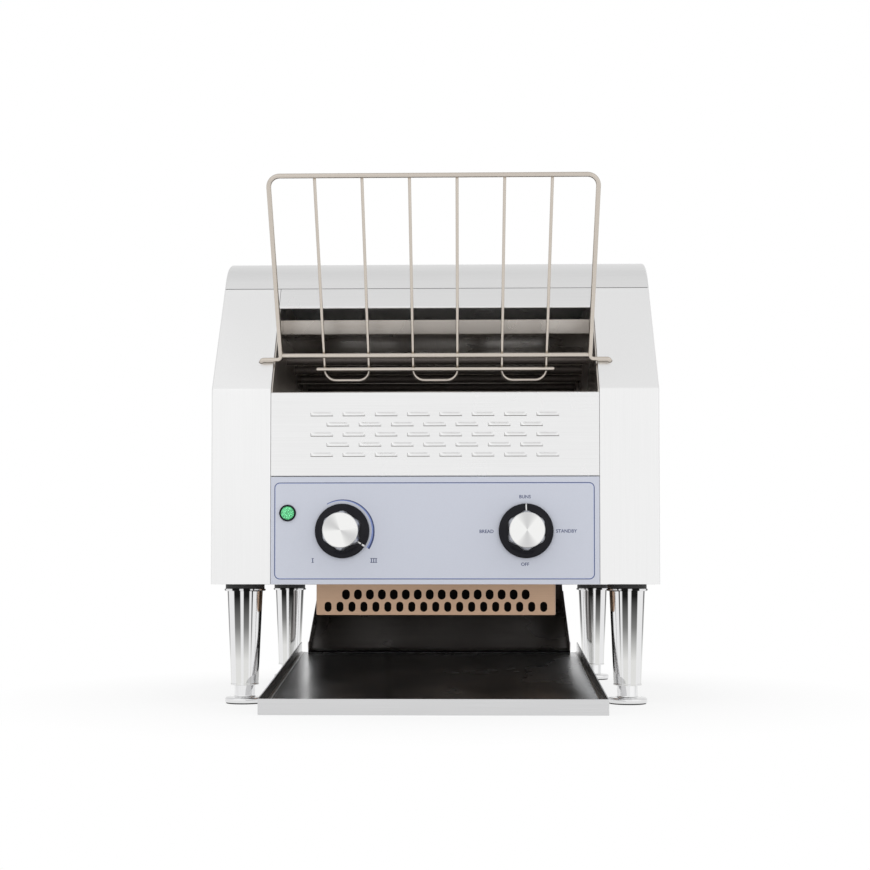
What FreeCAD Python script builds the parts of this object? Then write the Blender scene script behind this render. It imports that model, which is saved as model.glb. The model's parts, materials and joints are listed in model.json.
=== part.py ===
import FreeCAD, Part
import os
from math import acos, asin, atan2, cos, degrees, hypot, pi, radians, sin, sqrt, tan

# A conveyor toaster: a steel body on four chromed legs. Food is set on the sloping wire
# rack, a wire belt carries it back between two banks of heaters, and it drops down a
# curved chute into the low tray in front.
# Millimetres, +Z up, table at Z = 0, X across, +Y from the front to the back.
# While it is drawn, Y = 0 is the face of the front panels; save() then moves every piece
# so that the origin is the middle of the footprint.

# Body
body_width = 368.0
body_depth = 354.0
lid_height = 30.1
underside_height = 100.0
crease_height = 260.5
seam_height = 356.9
slope_angle = 58.0
crown_radius = 48.0
crease_radius = 3.0
corner_chamfer = 1.2
mouth_width = 270.0
header_height = 21.4
mouth_bottom_height = 258.0
panel_joint_height = 188.2

# Sheet and gaps
skin = 1.2
plate = 1.2
thin_sheet = 1.0
base_sheet = 1.5
panel_gap = 0.3
seat_gap = 0.2
slide_gap = 0.3
running_gap = 0.06
flange = 12.0
round_sides = 16
small_round_sides = 12
wire_sides = 8
bend_runs = 3
thin_wire_sides = 6

# Front louvres
louvre_length = 18.0
louvre_pitch = 26.5
louvre_rows = 5
louvres_in_long_row = 8
louvre_row_pitch = 8.33
louvre_top_height = 241.4
louvre_hood_height = 2.9
louvre_hood_reach = 1.3
louvre_wall = 0.5

# Control panel
overlay_thickness = 0.5
knob_height = 143.6
speed_knob_x = -75.8
mode_knob_x = 74.6
lamp_x = -120.8
lamp_height = 158.4
lamp_radius = 6.9
lamp_barrel_radius = 5.6
lamp_barrel_length = 16.0
lens_radius = 5.4
lens_rise = 2.6
skirt_radius = 22.4
skirt_edge = 3.0
skirt_height = 6.0
skirt_gap = 0.6
grip_radius = 14.9
grip_valley = 13.5
grip_lobes = 6
grip_height = 12.0
cap_radius = 14.5
cap_height = 2.6
spindle_radius = 3.0
spindle_depth = 12.0
bushing_radius = 4.8
controller_size = 44.0
controller_depth = 32.0
switch_size = 40.0
switch_depth = 40.0

# Legs
leg_inset = 23.0
front_leg_y = 34.5
rear_leg_y = 331.7
collar_radius = 17.25
collar_height = 5.5
leg_top_radius = 14.8
leg_bottom_radius = 11.4
leg_bottom_height = 15.5
foot_disc_radius = 16.5
foot_disc_height = 5.5
foot_stem_radius = 8.6
foot_stem_length = 50.0
stud_radius = 4.0
stud_height = 11.0
stud_nut_across_flats = 13.0
stud_nut_height = 6.5

# Wire belt
belt_strands = 30
belt_pitch = 21.2
belt_teeth = 5
belt_width = 250.0
strand_wire = 2.0
strand_thickness = 1.6
strand_loops = 2
strand_loop_width = 44.0
strand_hook = 3.4
strand_clearance = 0.12
idler_y = 34.0
shaft_height = 221.0
shaft_radius = 5.0
sprocket_width = 4.0
sprocket_tip_rise = 2.4
sprocket_seat = 1.3
chain_root_gap = 0.4
bush_radius = 8.0
bush_flange_radius = 11.0
bush_flange = 2.0
bush_inside = 0.5
rail_height = 5.0
rail_width = 2.0
rail_x = (-105.0, -35.0, 35.0, 105.0)
rail_bar = 6.0
rail_bar_inset = 45.0

# Chain drive
chain_pitch = 9.525
chain_links = 28
chain_teeth = 10
chain_plate_height = 7.0
chain_roller_width = 3.0
chain_plate = 1.0
chain_wheel_width = 2.6
chain_x = 151.0
chain_angle = 237.0
motor_radius = 29.0
motor_length = 20.0
motor_coil_width = 34.0
motor_coil_length = 30.0
motor_shaft_radius = 4.0
bracket_size = 64.0
bracket_sheet = 1.5

# Heaters
heater_radius = 4.0
upper_heater_count = 4
upper_heater_height = 300.0
lower_heater_count = 3
heater_front_y = 95.0
heater_rear_y = 260.0
cap_body_radius = 7.5
cap_body_length = 12.0
reflector_height = 318.0
reflector_rear_y = 332.0
crumb_sheet_drop = 29.0
crumb_sheet_rear_y = 298.0
shield_height = 184.0
shield_rear_y = 190.0

# Fan
fan_size = 80.0
fan_depth = 25.0
fan_y = 112.0
fan_duct_radius = 37.5
fan_tip_gap = 1.0
fan_hub_radius = 13.0
fan_pin_radius = 2.0
fan_blades = 7
fan_blade_angle = 35.0
fan_strut = 4.0
intake_slots = 7
intake_slot_width = 5.0

# Guard under the body
guard_width = 203.0
guard_front_y = 40.0
guard_rear_y = 155.0
guard_drop = 26.0
guard_hole_width = 6.7
guard_hole_height = 8.6
guard_hole_pitch = 10.15
guard_upper_holes = 16
guard_lower_holes = 19
guard_lower_hole_width = 6.0
guard_lower_pitch = 10.15
guard_upper_row_drop = 8.6
guard_lower_row_drop = 19.0

# Exit chute
chute_width = 254.0
chute_top_height = 226.0
chute_radius = 120.0
chute_rear_y = 341.0
chute_end_slope = 30.0
chute_end_y = 205.0
chute_edge = 8.0
chute_opening_front_y = 196.0
chute_opening_rear_y = 346.0

# Collecting tray
tray_width = 268.4
tray_front_reach = 72.0
tray_rear_y = 208.0
tray_lip_height = 12.4
tray_wall_height = 10.5
tray_rear_height = 33.6
tray_leg_width = 34.0

# Feed rack
rack_wire_radius = 1.9
rack_thin_radius = 1.25
rack_lean = 31.4
rack_half_width = 128.5
rack_ear_reach = 18.5
rack_slope_distance = 30.0
rack_length = 153.0
rack_top_corner = 9.0
rack_ear_bend = 3.0
rack_crossbar_rise = 3.6
rack_lower_bar_drop = 8.6
rack_lower_bar_half = 99.0
rack_loop_drop = 20.0
rack_loop_pitch = 37.1
rack_loop_corner = 9.0
rack_peg_length = 8.0

# Rear and sides
gland_x = -150.0
gland_height = 128.0
gland_radius = 9.0
gland_flange_radius = 12.0
gland_reach = 14.0
gland_bore = 4.2
gland_inside = 12.0
vent_length = 60.0
vent_width = 4.0
vent_pitch = 11.0
vent_column_pitch = 78.0
rear_vent_rows = 6
rear_vent_columns = 3
rear_vent_height = 236.0
side_vent_rows = 7
side_vent_columns = 2
side_vent_height = 142.0
side_vent_y = 175.0
screw_head_radius = 3.8
screw_head_height = 2.2
screw_inset = 7.0
terminal_width = 18.0
terminal_length = 46.0
terminal_height = 20.0
terminal_back = 54.0
terminal_drop = 46.0

# Derived places
half_width = body_width / 2
half_mouth = mouth_width / 2
plate_in = half_mouth - plate
slope = radians(slope_angle)
up_slope = (cos(slope), sin(slope))
out_of_slope = (-sin(slope), cos(slope))
body_height = seam_height + lid_height
mouth_top_height = seam_height - header_height
leg_x = body_width / 2 - leg_inset
crumb_sheet_height = shaft_height - crumb_sheet_drop
terminal_y = body_depth - terminal_back
terminal_z = shaft_height - terminal_drop
seam_y = (seam_height - crease_height) / tan(slope)
crown_y = (body_height - crease_height) / tan(slope)
origin_y = (body_depth + gland_reach - tray_front_reach) / 2
belt_span = (belt_strands - belt_teeth) * belt_pitch / 2
belt_radius = belt_pitch / 2 / sin(pi / belt_teeth)
strand_tilt = asin((strand_thickness + strand_clearance) / belt_pitch)
drive_turn = pi / 2 + (belt_span / belt_pitch) % 1 * 2 * pi / belt_teeth
tray_rise = tray_rear_height / (tray_rear_y + tray_front_reach)
drive_y = idler_y + belt_span
chain_span = (chain_links - chain_teeth) * chain_pitch / 2
chain_radius = chain_pitch / 2 / sin(pi / chain_teeth)
motor_y = drive_y + chain_span * cos(radians(chain_angle))
motor_height = shaft_height + chain_span * sin(radians(chain_angle))
overlay_back = overlay_thickness
panel_back = overlay_thickness + skin
panel_half = half_mouth - panel_gap
floor_top = underside_height + base_sheet

os.makedirs("parts", exist_ok=True)


# Drawing helpers

def save(name, shape):
    """Write one piece, moved from the drawing place to the middle of the footprint."""
    moved = shape.copy()
    moved.translate(FreeCAD.Vector(0, -origin_y, 0))
    moved.exportStep("parts/" + name + ".step")


def vec(x, y, z):
    return FreeCAD.Vector(x, y, z)


def box(x0, x1, y0, y1, z0, z1):
    """A block between two corners, given as ranges."""
    return Part.makeBox(x1 - x0, y1 - y0, z1 - z0, vec(x0, y0, z0))


def cylinder(radius, length, start, axis):
    return Part.makeCylinder(radius, length, vec(*start), vec(*axis))


def in_plane(plane, at):
    """How a flat point (a, b) becomes a point in space, on a plane across one axis."""
    if plane == "x":
        return lambda p: vec(at, p[0], p[1])
    if plane == "y":
        return lambda p: vec(p[0], at, p[1])
    return lambda p: vec(p[0], p[1], at)


def push(plane, length):
    return {"x": vec(length, 0, 0), "y": vec(0, length, 0), "z": vec(0, 0, length)}[plane]


def prism(points, plane, low, high):
    """A flat outline with straight sides, pushed from low to high along an axis."""
    place = in_plane(plane, low)
    corners = [place(p) for p in points]
    return Part.Face(Part.makePolygon(corners + corners[:1])).extrude(push(plane, high - low))


def solid_from(faces):
    """A solid closed by flat faces."""
    shell = Part.makeShell(faces)
    shell.sewShape()
    solid = Part.makeSolid(shell)
    if solid.Volume < 0:
        solid.reverse()
    return solid


def round_path(points, radii):
    """Edges of an open path; the corner at each inner point is an arc of its radius."""
    edges = []
    start = points[0]
    for index in range(1, len(points) - 1):
        corner = points[index]
        radius = radii[index - 1]
        if radius <= 0:
            edges.append(Part.LineSegment(start, corner).toShape())
            start = corner
            continue
        back = (points[index - 1] - corner).normalize()
        ahead = (points[index + 1] - corner).normalize()
        half = acos(max(-1.0, min(1.0, back.dot(ahead)))) / 2
        inwards = (back + ahead).normalize()
        first = corner + back * (radius / tan(half))
        last = corner + ahead * (radius / tan(half))
        middle = corner + inwards * (radius / sin(half) - radius)
        edges.append(Part.LineSegment(start, first).toShape())
        edges.append(Part.Arc(first, middle, last).toShape())
        start = last
    edges.append(Part.LineSegment(start, points[-1]).toShape())
    return edges


def beside(points, distance):
    """A flat path moved to its left by a distance, with mitred corners."""
    normals = []
    for a, b in zip(points, points[1:]):
        length = hypot(b[0] - a[0], b[1] - a[1])
        normals.append((-(b[1] - a[1]) / length, (b[0] - a[0]) / length))
    moved = []
    for index, point in enumerate(points):
        before = normals[max(index - 1, 0)]
        after = normals[min(index, len(normals) - 1)]
        share = distance / (1 + before[0] * after[0] + before[1] * after[1])
        moved.append((point[0] + share * (before[0] + after[0]), point[1] + share * (before[1] + after[1])))
    return moved


def folded_sheet(points, radii, thickness, low, high, plane="x"):
    """Sheet bent along a flat path, its thickness to the left of it, pushed along an axis."""
    other = beside(points, thickness)
    other_radii = []
    for index, radius in enumerate(radii):
        a, b, c = points[index], points[index + 1], points[index + 2]
        turn = (b[0] - a[0]) * (c[1] - b[1]) - (b[1] - a[1]) * (c[0] - b[0])
        change = -abs(thickness) if turn * thickness > 0 else abs(thickness)
        other_radii.append(max(radius + change, 0.0) if radius > 0 else 0.0)
    place = in_plane(plane, low)
    near = [place(p) for p in points]
    far = [place(p) for p in other]
    edges = round_path(near, radii)
    edges.append(Part.LineSegment(near[-1], far[-1]).toShape())
    edges += round_path(far[::-1], other_radii[::-1])
    edges.append(Part.LineSegment(far[0], near[0]).toShape())
    return Part.Face(Part.Wire(edges)).extrude(push(plane, high - low))


def bent_wire(points, radii, wire_radius, sides):
    """A wire along a path with rounded corners, its round section drawn in flats."""
    path = [points[0]]
    for edge in round_path(points, radii):
        if edge.Length < 0.01:
            continue
        low, high = edge.ParameterRange
        runs = 1 if edge.Curve.TypeId == "Part::GeomLine" else bend_runs
        path += [edge.valueAt(low + (high - low) * k / runs) for k in range(1, runs + 1)]
    ways = [(b - a).normalize() for a, b in zip(path, path[1:])]
    across = ways[0].cross(points[2] - points[1]).normalize()
    third = ways[0].cross(across)
    ring = [path[0] + across * a + third * b for a, b in ring_points(wire_radius, sides, pi / sides)]
    faces = [Part.Face(Part.makePolygon(ring + ring[:1]))]
    for index, way in enumerate(ways):
        mitre = way + ways[index + 1] if index + 1 < len(ways) else way
        corner = path[index + 1]
        moved = [p + way * ((corner - p).dot(mitre) / way.dot(mitre)) for p in ring]
        for k in range(sides):
            after = (k + 1) % sides
            quad = [ring[k], ring[after], moved[after], moved[k]]
            faces.append(Part.Face(Part.makePolygon(quad + quad[:1])))
        ring = moved
    faces.append(Part.Face(Part.makePolygon(ring + ring[:1])))
    return solid_from(faces)


def spun_flats(profile, centre, axis, sides):
    """A closed profile of (radius, height) points spun in flats, for a lighter round piece."""
    along = vec(*axis)
    across = vec(1, 0, 0) if abs(axis[0]) < 0.5 else vec(0, 1, 0)
    third = along.cross(across)
    origin = vec(*centre)

    def corner(point, k):
        angle = 2 * pi * (k + 0.5) / sides
        return origin + along * point[1] + (across * cos(angle) + third * sin(angle)) * point[0]

    faces = []
    for a, b in zip(profile, profile[1:] + profile[:1]):
        if a[0] == 0 and b[0] == 0:
            continue
        level = a[1] == b[1]
        if level and (a[0] == 0 or b[0] == 0):
            rim = b if a[0] == 0 else a
            ring = [corner(rim, k) for k in range(sides)]
            faces.append(Part.Face(Part.makePolygon(ring + ring[:1])))
            continue
        if level:
            rings = []
            for rim in (a, b):
                ring = [corner(rim, k) for k in range(sides)]
                rings.append(Part.makePolygon(ring + ring[:1]))
            wide, narrow = (rings[0], rings[1]) if a[0] > b[0] else (rings[1], rings[0])
            faces.append(Part.Face(wide).cut(Part.Face(narrow)).Faces[0])
            continue
        for k in range(sides):
            quad = [corner(a, k), corner(b, k), corner(b, k + 1), corner(a, k + 1)]
            if a[0] == 0:
                quad = [quad[0], quad[1], quad[2]]
            elif b[0] == 0:
                quad = [quad[0], quad[1], quad[3]]
            faces.append(Part.Face(Part.makePolygon(quad + quad[:1])))
    return solid_from(faces)


def ring_points(radius, count, turn=0.0):
    """The corners of a regular outline, centred on zero."""
    return [(radius * cos(turn + 2 * pi * k / count), radius * sin(turn + 2 * pi * k / count))
            for k in range(count)]


def shifted(points, a, b):
    return [(p[0] + a, p[1] + b) for p in points]


def bore_round(radius, gap, plane, centre, low, high):
    """A hole in flats that clears a round of this radius by the gap."""
    return many_sided((radius + gap) / cos(pi / small_round_sides), small_round_sides, plane, centre, low, high)


def many_sided(radius, sides, plane, centre, low, high):
    """A bar with flats in place of a round, for small repeated pieces."""
    points = ring_points(radius, sides, pi / sides)
    return prism(shifted(points, centre[0], centre[1]), plane, low, high)


def hexagon(across_flats, plane, centre, low, high):
    return many_sided(across_flats / 2 / cos(pi / 6), 6, plane, centre, low, high)


def long_hole(width, height, centre, low, high):
    """An upright slot whose ends come to a blunt point, cut along Y."""
    straight = (height - width) / 2
    points = []
    for start, rise in ((0.0, straight), (pi, -straight)):
        for step in range(3):
            angle = start + step * pi / 2
            points.append((centre[0] + width / 2 * cos(angle), centre[1] + rise + width / 2 * sin(angle)))
    return prism(points, "y", low, high)


def mirrored(shape):
    """The same piece for the other side of the body."""
    return shape.mirror(vec(0, 0, 0), vec(1, 0, 0))


def group(shapes):
    return Part.makeCompound(shapes)


def evenly(first, last, count):
    return [first + (last - first) * k / (count - 1) for k in range(count)]


def on_slope(distance):
    """A point of the sloping front plane, this far up it from the crease."""
    return (distance * up_slope[0], crease_height + distance * up_slope[1])


# Body shell

def front_line(inset, top):
    """The outline of the front from the underside to a height, moved inwards."""
    outer = [(0, underside_height), (0, crease_height), ((top - crease_height) / tan(slope), top)]
    return beside(outer, -inset) if inset else outer


def body_block(inset, low, high, top):
    """A solid of the body's side outline, moved in at the front, up to a height."""
    beyond = 20.0 if inset else 0.0
    line = front_line(inset, top + beyond)
    rear = body_depth + beyond
    low_end = underside_height - beyond
    points = [(line[0][0], low_end), line[1], line[2], (rear, line[2][1]), (rear, low_end)]
    place = in_plane("x", low)
    corners = [place(p) for p in points]
    edges = round_path(corners + [corners[0]], [max(crease_radius - inset, 0.4), 0, 0, 0])
    return Part.Face(Part.Wire(edges)).extrude(push("x", high - low))


def make_side_cover():
    """Outer side wall and the front face that turns in from it, in one bent sheet."""
    top = seam_height - 2 * seat_gap
    outer = body_block(0, half_mouth, half_width, top)
    sharp = []
    for edge in outer.Edges:
        bounds = edge.BoundBox
        on_side = bounds.XMin > half_width - 0.01
        in_front = bounds.YMax < seam_y + 0.01
        if on_side and in_front:
            sharp.append(edge)
    outer = outer.makeChamfer(corner_chamfer, sharp)
    inner = body_block(skin, half_mouth - 1, half_width - skin, top)
    cover = outer.cut(inner)
    wall_in = half_width - skin
    top_flange = box(wall_in - flange, wall_in, seam_y + flange, body_depth - 4 * skin, top - skin, top)
    rear_inset = body_depth - skin - seat_gap
    rear_flange = box(wall_in - flange, wall_in, rear_inset - skin, rear_inset, floor_top + flange / 2, top - flange)
    cover = cover.fuse([top_flange, rear_flange]).removeSplitter()
    cuts = []
    for row in range(side_vent_rows):
        for column in range(side_vent_columns):
            y = side_vent_y + (column - (side_vent_columns - 1) / 2) * vent_column_pitch
            z = side_vent_height + row * vent_pitch
            cuts.append(box(wall_in - 1, half_width + 1, y - vent_length / 2, y + vent_length / 2,
                            z, z + vent_width))
    ear = on_slope(rack_slope_distance)
    peg_x = rack_half_width + rack_ear_reach - rack_wire_radius
    start = (peg_x, ear[0] + 5 * out_of_slope[0], ear[1] + 5 * out_of_slope[1])
    into = (0, -out_of_slope[0], -out_of_slope[1])
    cuts.append(spun_flats([(0, 0), (rack_wire_radius + slide_gap, 0), (rack_wire_radius + slide_gap, 15), (0, 15)],
                           start, into, wire_sides))
    return cover.cut(cuts)


def make_top_cover():
    """The lid: a box open below, its front edge rounded into the slope."""
    low = seam_height
    crown = [(seam_y, low), (crown_y, body_height), (body_depth, body_height), (body_depth, low)]
    place = in_plane("x", -half_width)
    corners = [place(p) for p in crown]
    edges = round_path(corners + [corners[0]], [crown_radius, 0, 0])
    outer = Part.Face(Part.Wire(edges)).extrude(push("x", body_width))
    long_edges = []
    for edge in outer.Edges:
        bounds = edge.BoundBox
        on_side = bounds.XMax - bounds.XMin < 0.01
        above = bounds.ZMax > low + 0.01 and bounds.YMin < body_depth - 0.01
        if on_side and above:
            long_edges.append(edge)
    outer = outer.makeChamfer(corner_chamfer, long_edges)
    inner_line = beside([(seam_y, low), (crown_y, body_height), (body_depth, body_height)], -skin)
    start = (inner_line[0][0] - 10 * up_slope[0], inner_line[0][1] - 10 * up_slope[1])
    inner = [start, inner_line[1], (body_depth - skin, body_height - skin), (body_depth - skin, start[1])]
    place = in_plane("x", -half_width + skin)
    corners = [place(p) for p in inner]
    edges = round_path(corners + [corners[0]], [crown_radius - skin, 0, 0])
    hollow = Part.Face(Part.Wire(edges)).extrude(push("x", body_width - 2 * skin))
    return outer.cut(hollow)


def make_entry_header():
    """The strip over the feed mouth, with a turned-in lower edge."""
    low = ((mouth_top_height - crease_height) / tan(slope), mouth_top_height)
    high_z = seam_height - 2 * seat_gap
    high = ((high_z - crease_height) / tan(slope), high_z)
    turned_in = (low[0] + flange, low[1] + flange / 3)
    strip = folded_sheet([turned_in, low, high], [crease_radius / 2], -skin, -panel_half, panel_half)
    return clear_of_plates(strip)


def louvre_wedge(x, length, height, reach, base_z, foot):
    """The hood of one louvre: stands out at its lower edge and runs into the sheet above."""
    points = [(-reach, base_z), (foot, base_z), (foot, base_z + height)]
    return prism(points, "x", x - length / 2, x + length / 2)


def louvre_places():
    """Centre of each louvre's lower edge: long rows and short rows take turns."""
    places = []
    for row in range(louvre_rows):
        count = louvres_in_long_row - row % 2
        z = louvre_top_height - louvre_hood_height - row * louvre_row_pitch
        for k in range(count):
            places.append(((k - (count - 1) / 2) * louvre_pitch, z))
    return places


def make_louvre_panel():
    """Front panel with pressed-out louvres; its top turns back to guide food to the belt."""
    bottom = panel_joint_height + panel_gap
    top = mouth_bottom_height
    path = [(flange, bottom), (0, bottom), (0, top), (flange, top), (flange * 1.35, top - flange * 0.7)]
    panel = folded_sheet(path, [crease_radius / 2, crease_radius / 2, crease_radius], -skin,
                         -panel_half, panel_half)
    hoods = []
    hollows = []
    for x, z in louvre_places():
        hoods.append(louvre_wedge(x, louvre_length, louvre_hood_height, louvre_hood_reach, z, skin / 2))
        hollows.append(louvre_wedge(x, louvre_length - 2 * louvre_wall, louvre_hood_height - louvre_wall,
                                    louvre_hood_reach - louvre_wall, z - louvre_wall, skin + louvre_wall))
    return clear_of_plates(panel).fuse(hoods).cut(hollows)


def make_rear_panel():
    """Flat rear panel with rows of vent slots and the cord hole."""
    half = half_width - skin - seat_gap
    top = seam_height - 2 * seat_gap
    panel = box(-half, half, body_depth - skin, body_depth, floor_top + seat_gap, top)
    cuts = []
    for row in range(rear_vent_rows):
        for column in range(rear_vent_columns):
            x = (column - (rear_vent_columns - 1) / 2) * vent_column_pitch
            z = rear_vent_height + row * vent_pitch
            cuts.append(box(x - vent_length / 2, x + vent_length / 2, body_depth - 2 * skin,
                            body_depth + skin, z, z + vent_width))
    cuts.append(many_sided(gland_radius + seat_gap, small_round_sides, "y", (gland_x, gland_height),
                           body_depth - 2 * skin, body_depth + 2 * skin))
    return panel.cut(cuts)


def screw_places():
    """Three screws up each side of the rear panel."""
    x = half_width - skin - screw_inset
    low = floor_top + flange * 2
    high = seam_height - flange * 2
    return [(side * x, z) for side in (-1, 1) for z in evenly(low, high, 3)]


def make_rear_screws():
    """Heads of the screws; their shanks are left out."""
    return group([many_sided(screw_head_radius, 8, "y", place, body_depth, body_depth + screw_head_height)
                  for place in screw_places()])


def leg_places():
    return [(side * leg_x, y) for y in (front_leg_y, rear_leg_y) for side in (-1, 1)]


def make_base_plate():
    """Floor of the body: chute opening, fan intake slots and the holes for the leg studs."""
    half = half_width - skin - seat_gap
    front = panel_back + seat_gap
    rear = body_depth - skin - seat_gap
    base = box(-half, half, front, rear, underside_height, floor_top)
    cuts = [box(-chute_width / 2 - 4, chute_width / 2 + 4, chute_opening_front_y, chute_opening_rear_y,
                underside_height - 1, floor_top + 1),
            box(-half_mouth, half_mouth, 0, overlay_back + flange + seat_gap, underside_height - 1, floor_top + 1)]
    for k in range(intake_slots):
        x = (k - (intake_slots - 1) / 2) * 2 * intake_slot_width
        reach = sqrt(fan_duct_radius ** 2 - x ** 2) - 2 * intake_slot_width / 2
        cuts.append(box(x - intake_slot_width / 2, x + intake_slot_width / 2, fan_y - reach, fan_y + reach,
                        underside_height - 1, floor_top + 1))
    for x, y in leg_places():
        cuts.append(many_sided(stud_radius + seat_gap, 6, "z", (x, y), underside_height - 1, floor_top + 1))
    return base.cut(cuts)


def bearing_places():
    return [(idler_y, shaft_height), (drive_y, shaft_height)]


def heater_places():
    upper = [(y, upper_heater_height) for y in evenly(heater_front_y, heater_rear_y, upper_heater_count)]
    lower_inset = 15.0
    lower = [(y, shaft_height) for y in evenly(heater_front_y + lower_inset, heater_rear_y - lower_inset,
                                               lower_heater_count)]
    return upper, lower


def make_side_plate():
    """Inner side plate of the hot chamber, bored for the shafts and the heaters."""
    inset = panel_back + panel_gap
    line = front_line(inset, seam_height - 4)
    rear = body_depth - 3 * skin - seat_gap
    points = [(line[0][0], floor_top), line[1], line[2], (rear, line[2][1]), (rear, floor_top)]
    wall = prism(points, "x", plate_in, half_mouth)
    cuts = []
    for y, z in bearing_places():
        cuts.append(many_sided(bush_radius + seat_gap, small_round_sides, "x", (y, z), plate_in - 1, half_mouth + 1))
    upper, lower = heater_places()
    for y, z in upper + lower:
        cuts.append(many_sided(heater_radius + seat_gap, 8, "x", (y, z), plate_in - 1, half_mouth + 1))
    return wall.cut(cuts)


def clear_of_plates(panel):
    """A front panel with its folds cut short of the side plates."""
    low = plate_in - seat_gap
    taken = body_block(panel_back + panel_gap / 2, low, half_width, seam_height)
    return panel.cut([taken, mirrored(taken)])


# Controls

def make_control_panel():
    """Sheet behind the printed face, with its edges turned back and holes for the controls."""
    low = underside_height
    high = panel_joint_height
    path = [(overlay_back + flange, low), (overlay_back, low), (overlay_back, high), (overlay_back + flange, high)]
    panel = folded_sheet(path, [crease_radius / 2, crease_radius / 2], -skin, -panel_half, panel_half)
    return clear_of_plates(panel).cut(control_holes(seat_gap))


def control_holes(clearance):
    holes = []
    for x in (speed_knob_x, mode_knob_x):
        holes.append(many_sided(bushing_radius + clearance, small_round_sides, "y", (x, knob_height), -2, 6))
    holes.append(many_sided(lamp_barrel_radius + clearance, small_round_sides, "y", (lamp_x, lamp_height), -2, 6))
    return holes


def make_control_overlay():
    """Printed face of the control panel, laid on the sheet."""
    face = box(-panel_half, panel_half, 0, overlay_thickness, underside_height, panel_joint_height)
    return face.cut(control_holes(seat_gap))


def make_lamp_housing():
    """Bezel in front of the panel and the barrel behind it, hollow for the lens."""
    seat = lens_radius + seat_gap / 2
    profile = [(seat, -1.6), (lamp_radius - 0.8, -1.6), (lamp_radius, -0.8), (lamp_radius, 0),
               (lamp_barrel_radius, 0), (lamp_barrel_radius, lamp_barrel_length), (0, lamp_barrel_length),
               (0, 2.0), (seat, 2.0)]
    return spun_flats(profile, (lamp_x, 0, lamp_height), (0, 1, 0), small_round_sides)


def make_lamp_lens():
    profile = [(0, 1.9), (lens_radius, 1.9), (lens_radius, -1.4), (lens_radius * 0.72, -2.2), (0, -lens_rise)]
    return spun_flats(profile, (lamp_x, 0, lamp_height), (0, 1, 0), small_round_sides)


def make_spindle(x):
    """Spindle of a control: turns in the bore of its control and carries the knob."""
    tip = -skirt_gap - skirt_height - grip_height / 2
    return cylinder(spindle_radius, panel_back + spindle_depth - tip, (x, tip, knob_height), (0, 1, 0))


def make_skirt(x):
    """Dished skirt of a knob, with a hole for the spindle."""
    back = -skirt_gap
    profile = [(0, back), (skirt_radius, back), (skirt_radius, back - skirt_edge + 0.9),
               (skirt_radius - 0.9, back - skirt_edge), (grip_radius + 1.2, back - skirt_height),
               (0, back - skirt_height)]
    skirt = spun_flats(profile, (x, 0, knob_height), (0, 1, 0), round_sides)
    return skirt.cut(bore_round(spindle_radius, seat_gap / 2, "y", (x, knob_height), back - skirt_height - 1,
                                back + 1))


def make_grip(x):
    """Lobed grip of a knob with a round cap on its end."""
    back = -skirt_gap - skirt_height
    front = back - grip_height
    points = []
    corners = 4 * grip_lobes
    for k in range(corners):
        angle = 2 * pi * k / corners
        radius = (grip_radius + grip_valley) / 2 + (grip_radius - grip_valley) / 2 * cos(grip_lobes * angle)
        points.append((x + radius * cos(angle), knob_height + radius * sin(angle)))
    lobes = prism(points, "y", front, back)
    cap = spun_flats([(0, front), (cap_radius, front), (cap_radius, front - cap_height + 0.8),
                      (cap_radius - 0.8, front - cap_height), (0, front - cap_height)],
                     (x, 0, knob_height), (0, 1, 0), round_sides)
    return lobes.fuse(cap).cut(bore_round(spindle_radius, seat_gap / 2, "y", (x, knob_height),
                                          back - grip_height / 2 - seat_gap, back + 1))


def make_control_body(x, size, depth):
    """A control behind the panel, its threaded nose passing through the panel."""
    half = size / 2
    nose_end = -skirt_gap / 2
    case = box(x - half, x + half, panel_back, panel_back + depth, knob_height - half, knob_height + half)
    nose = many_sided(bushing_radius, small_round_sides, "y", (x, knob_height), nose_end, panel_back)
    bore = bore_round(spindle_radius, running_gap, "y", (x, knob_height), nose_end - 1,
                      panel_back + spindle_depth + seat_gap)
    terminals = []
    for offset in evenly(-half + 8, half - 8, 4):
        terminals.append(box(x + offset - 3, x + offset + 3, panel_back + depth, panel_back + depth + 8,
                             knob_height - 0.4, knob_height + 0.4))
    return case.fuse([nose] + terminals).cut(bore)


# Feet

def make_leg(x, y):
    """Tapered leg: collar under the body, stud through the floor, bore for the foot."""
    top = underside_height
    bore = foot_stem_radius + slide_gap
    bore_top = foot_disc_height + foot_stem_length + 2
    outline = [(0, top), (collar_radius, top), (collar_radius, top - collar_height + 1),
               (collar_radius - 1, top - collar_height), (leg_top_radius, top - collar_height),
               (leg_bottom_radius, leg_bottom_height), (bore, leg_bottom_height), (bore, bore_top), (0, bore_top)]
    leg = spun_flats(outline, (x, y, 0), (0, 0, 1), round_sides)
    return leg.fuse(many_sided(stud_radius, 6, "z", (x, y), top, top + stud_height))


def make_foot(x, y):
    """Screw-in foot: broad disc on the table and a stem up inside the leg."""
    outline = [(0, 0), (foot_disc_radius, 0), (foot_disc_radius, foot_disc_height - 1),
               (foot_disc_radius - 1, foot_disc_height), (foot_stem_radius, foot_disc_height),
               (foot_stem_radius, foot_disc_height + foot_stem_length), (0, foot_disc_height + foot_stem_length)]
    return spun_flats(outline, (x, y, 0), (0, 0, 1), round_sides)


def make_leg_nuts():
    nuts = []
    for x, y in leg_places():
        nut = hexagon(stud_nut_across_flats, "z", (x, y), floor_top, floor_top + stud_nut_height)
        hole = many_sided(stud_radius + seat_gap / 2, 6, "z", (x, y), floor_top - 1,
                          floor_top + stud_nut_height + 1)
        nuts.append(nut.cut(hole))
    return group(nuts)


# Belt and its drive

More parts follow.
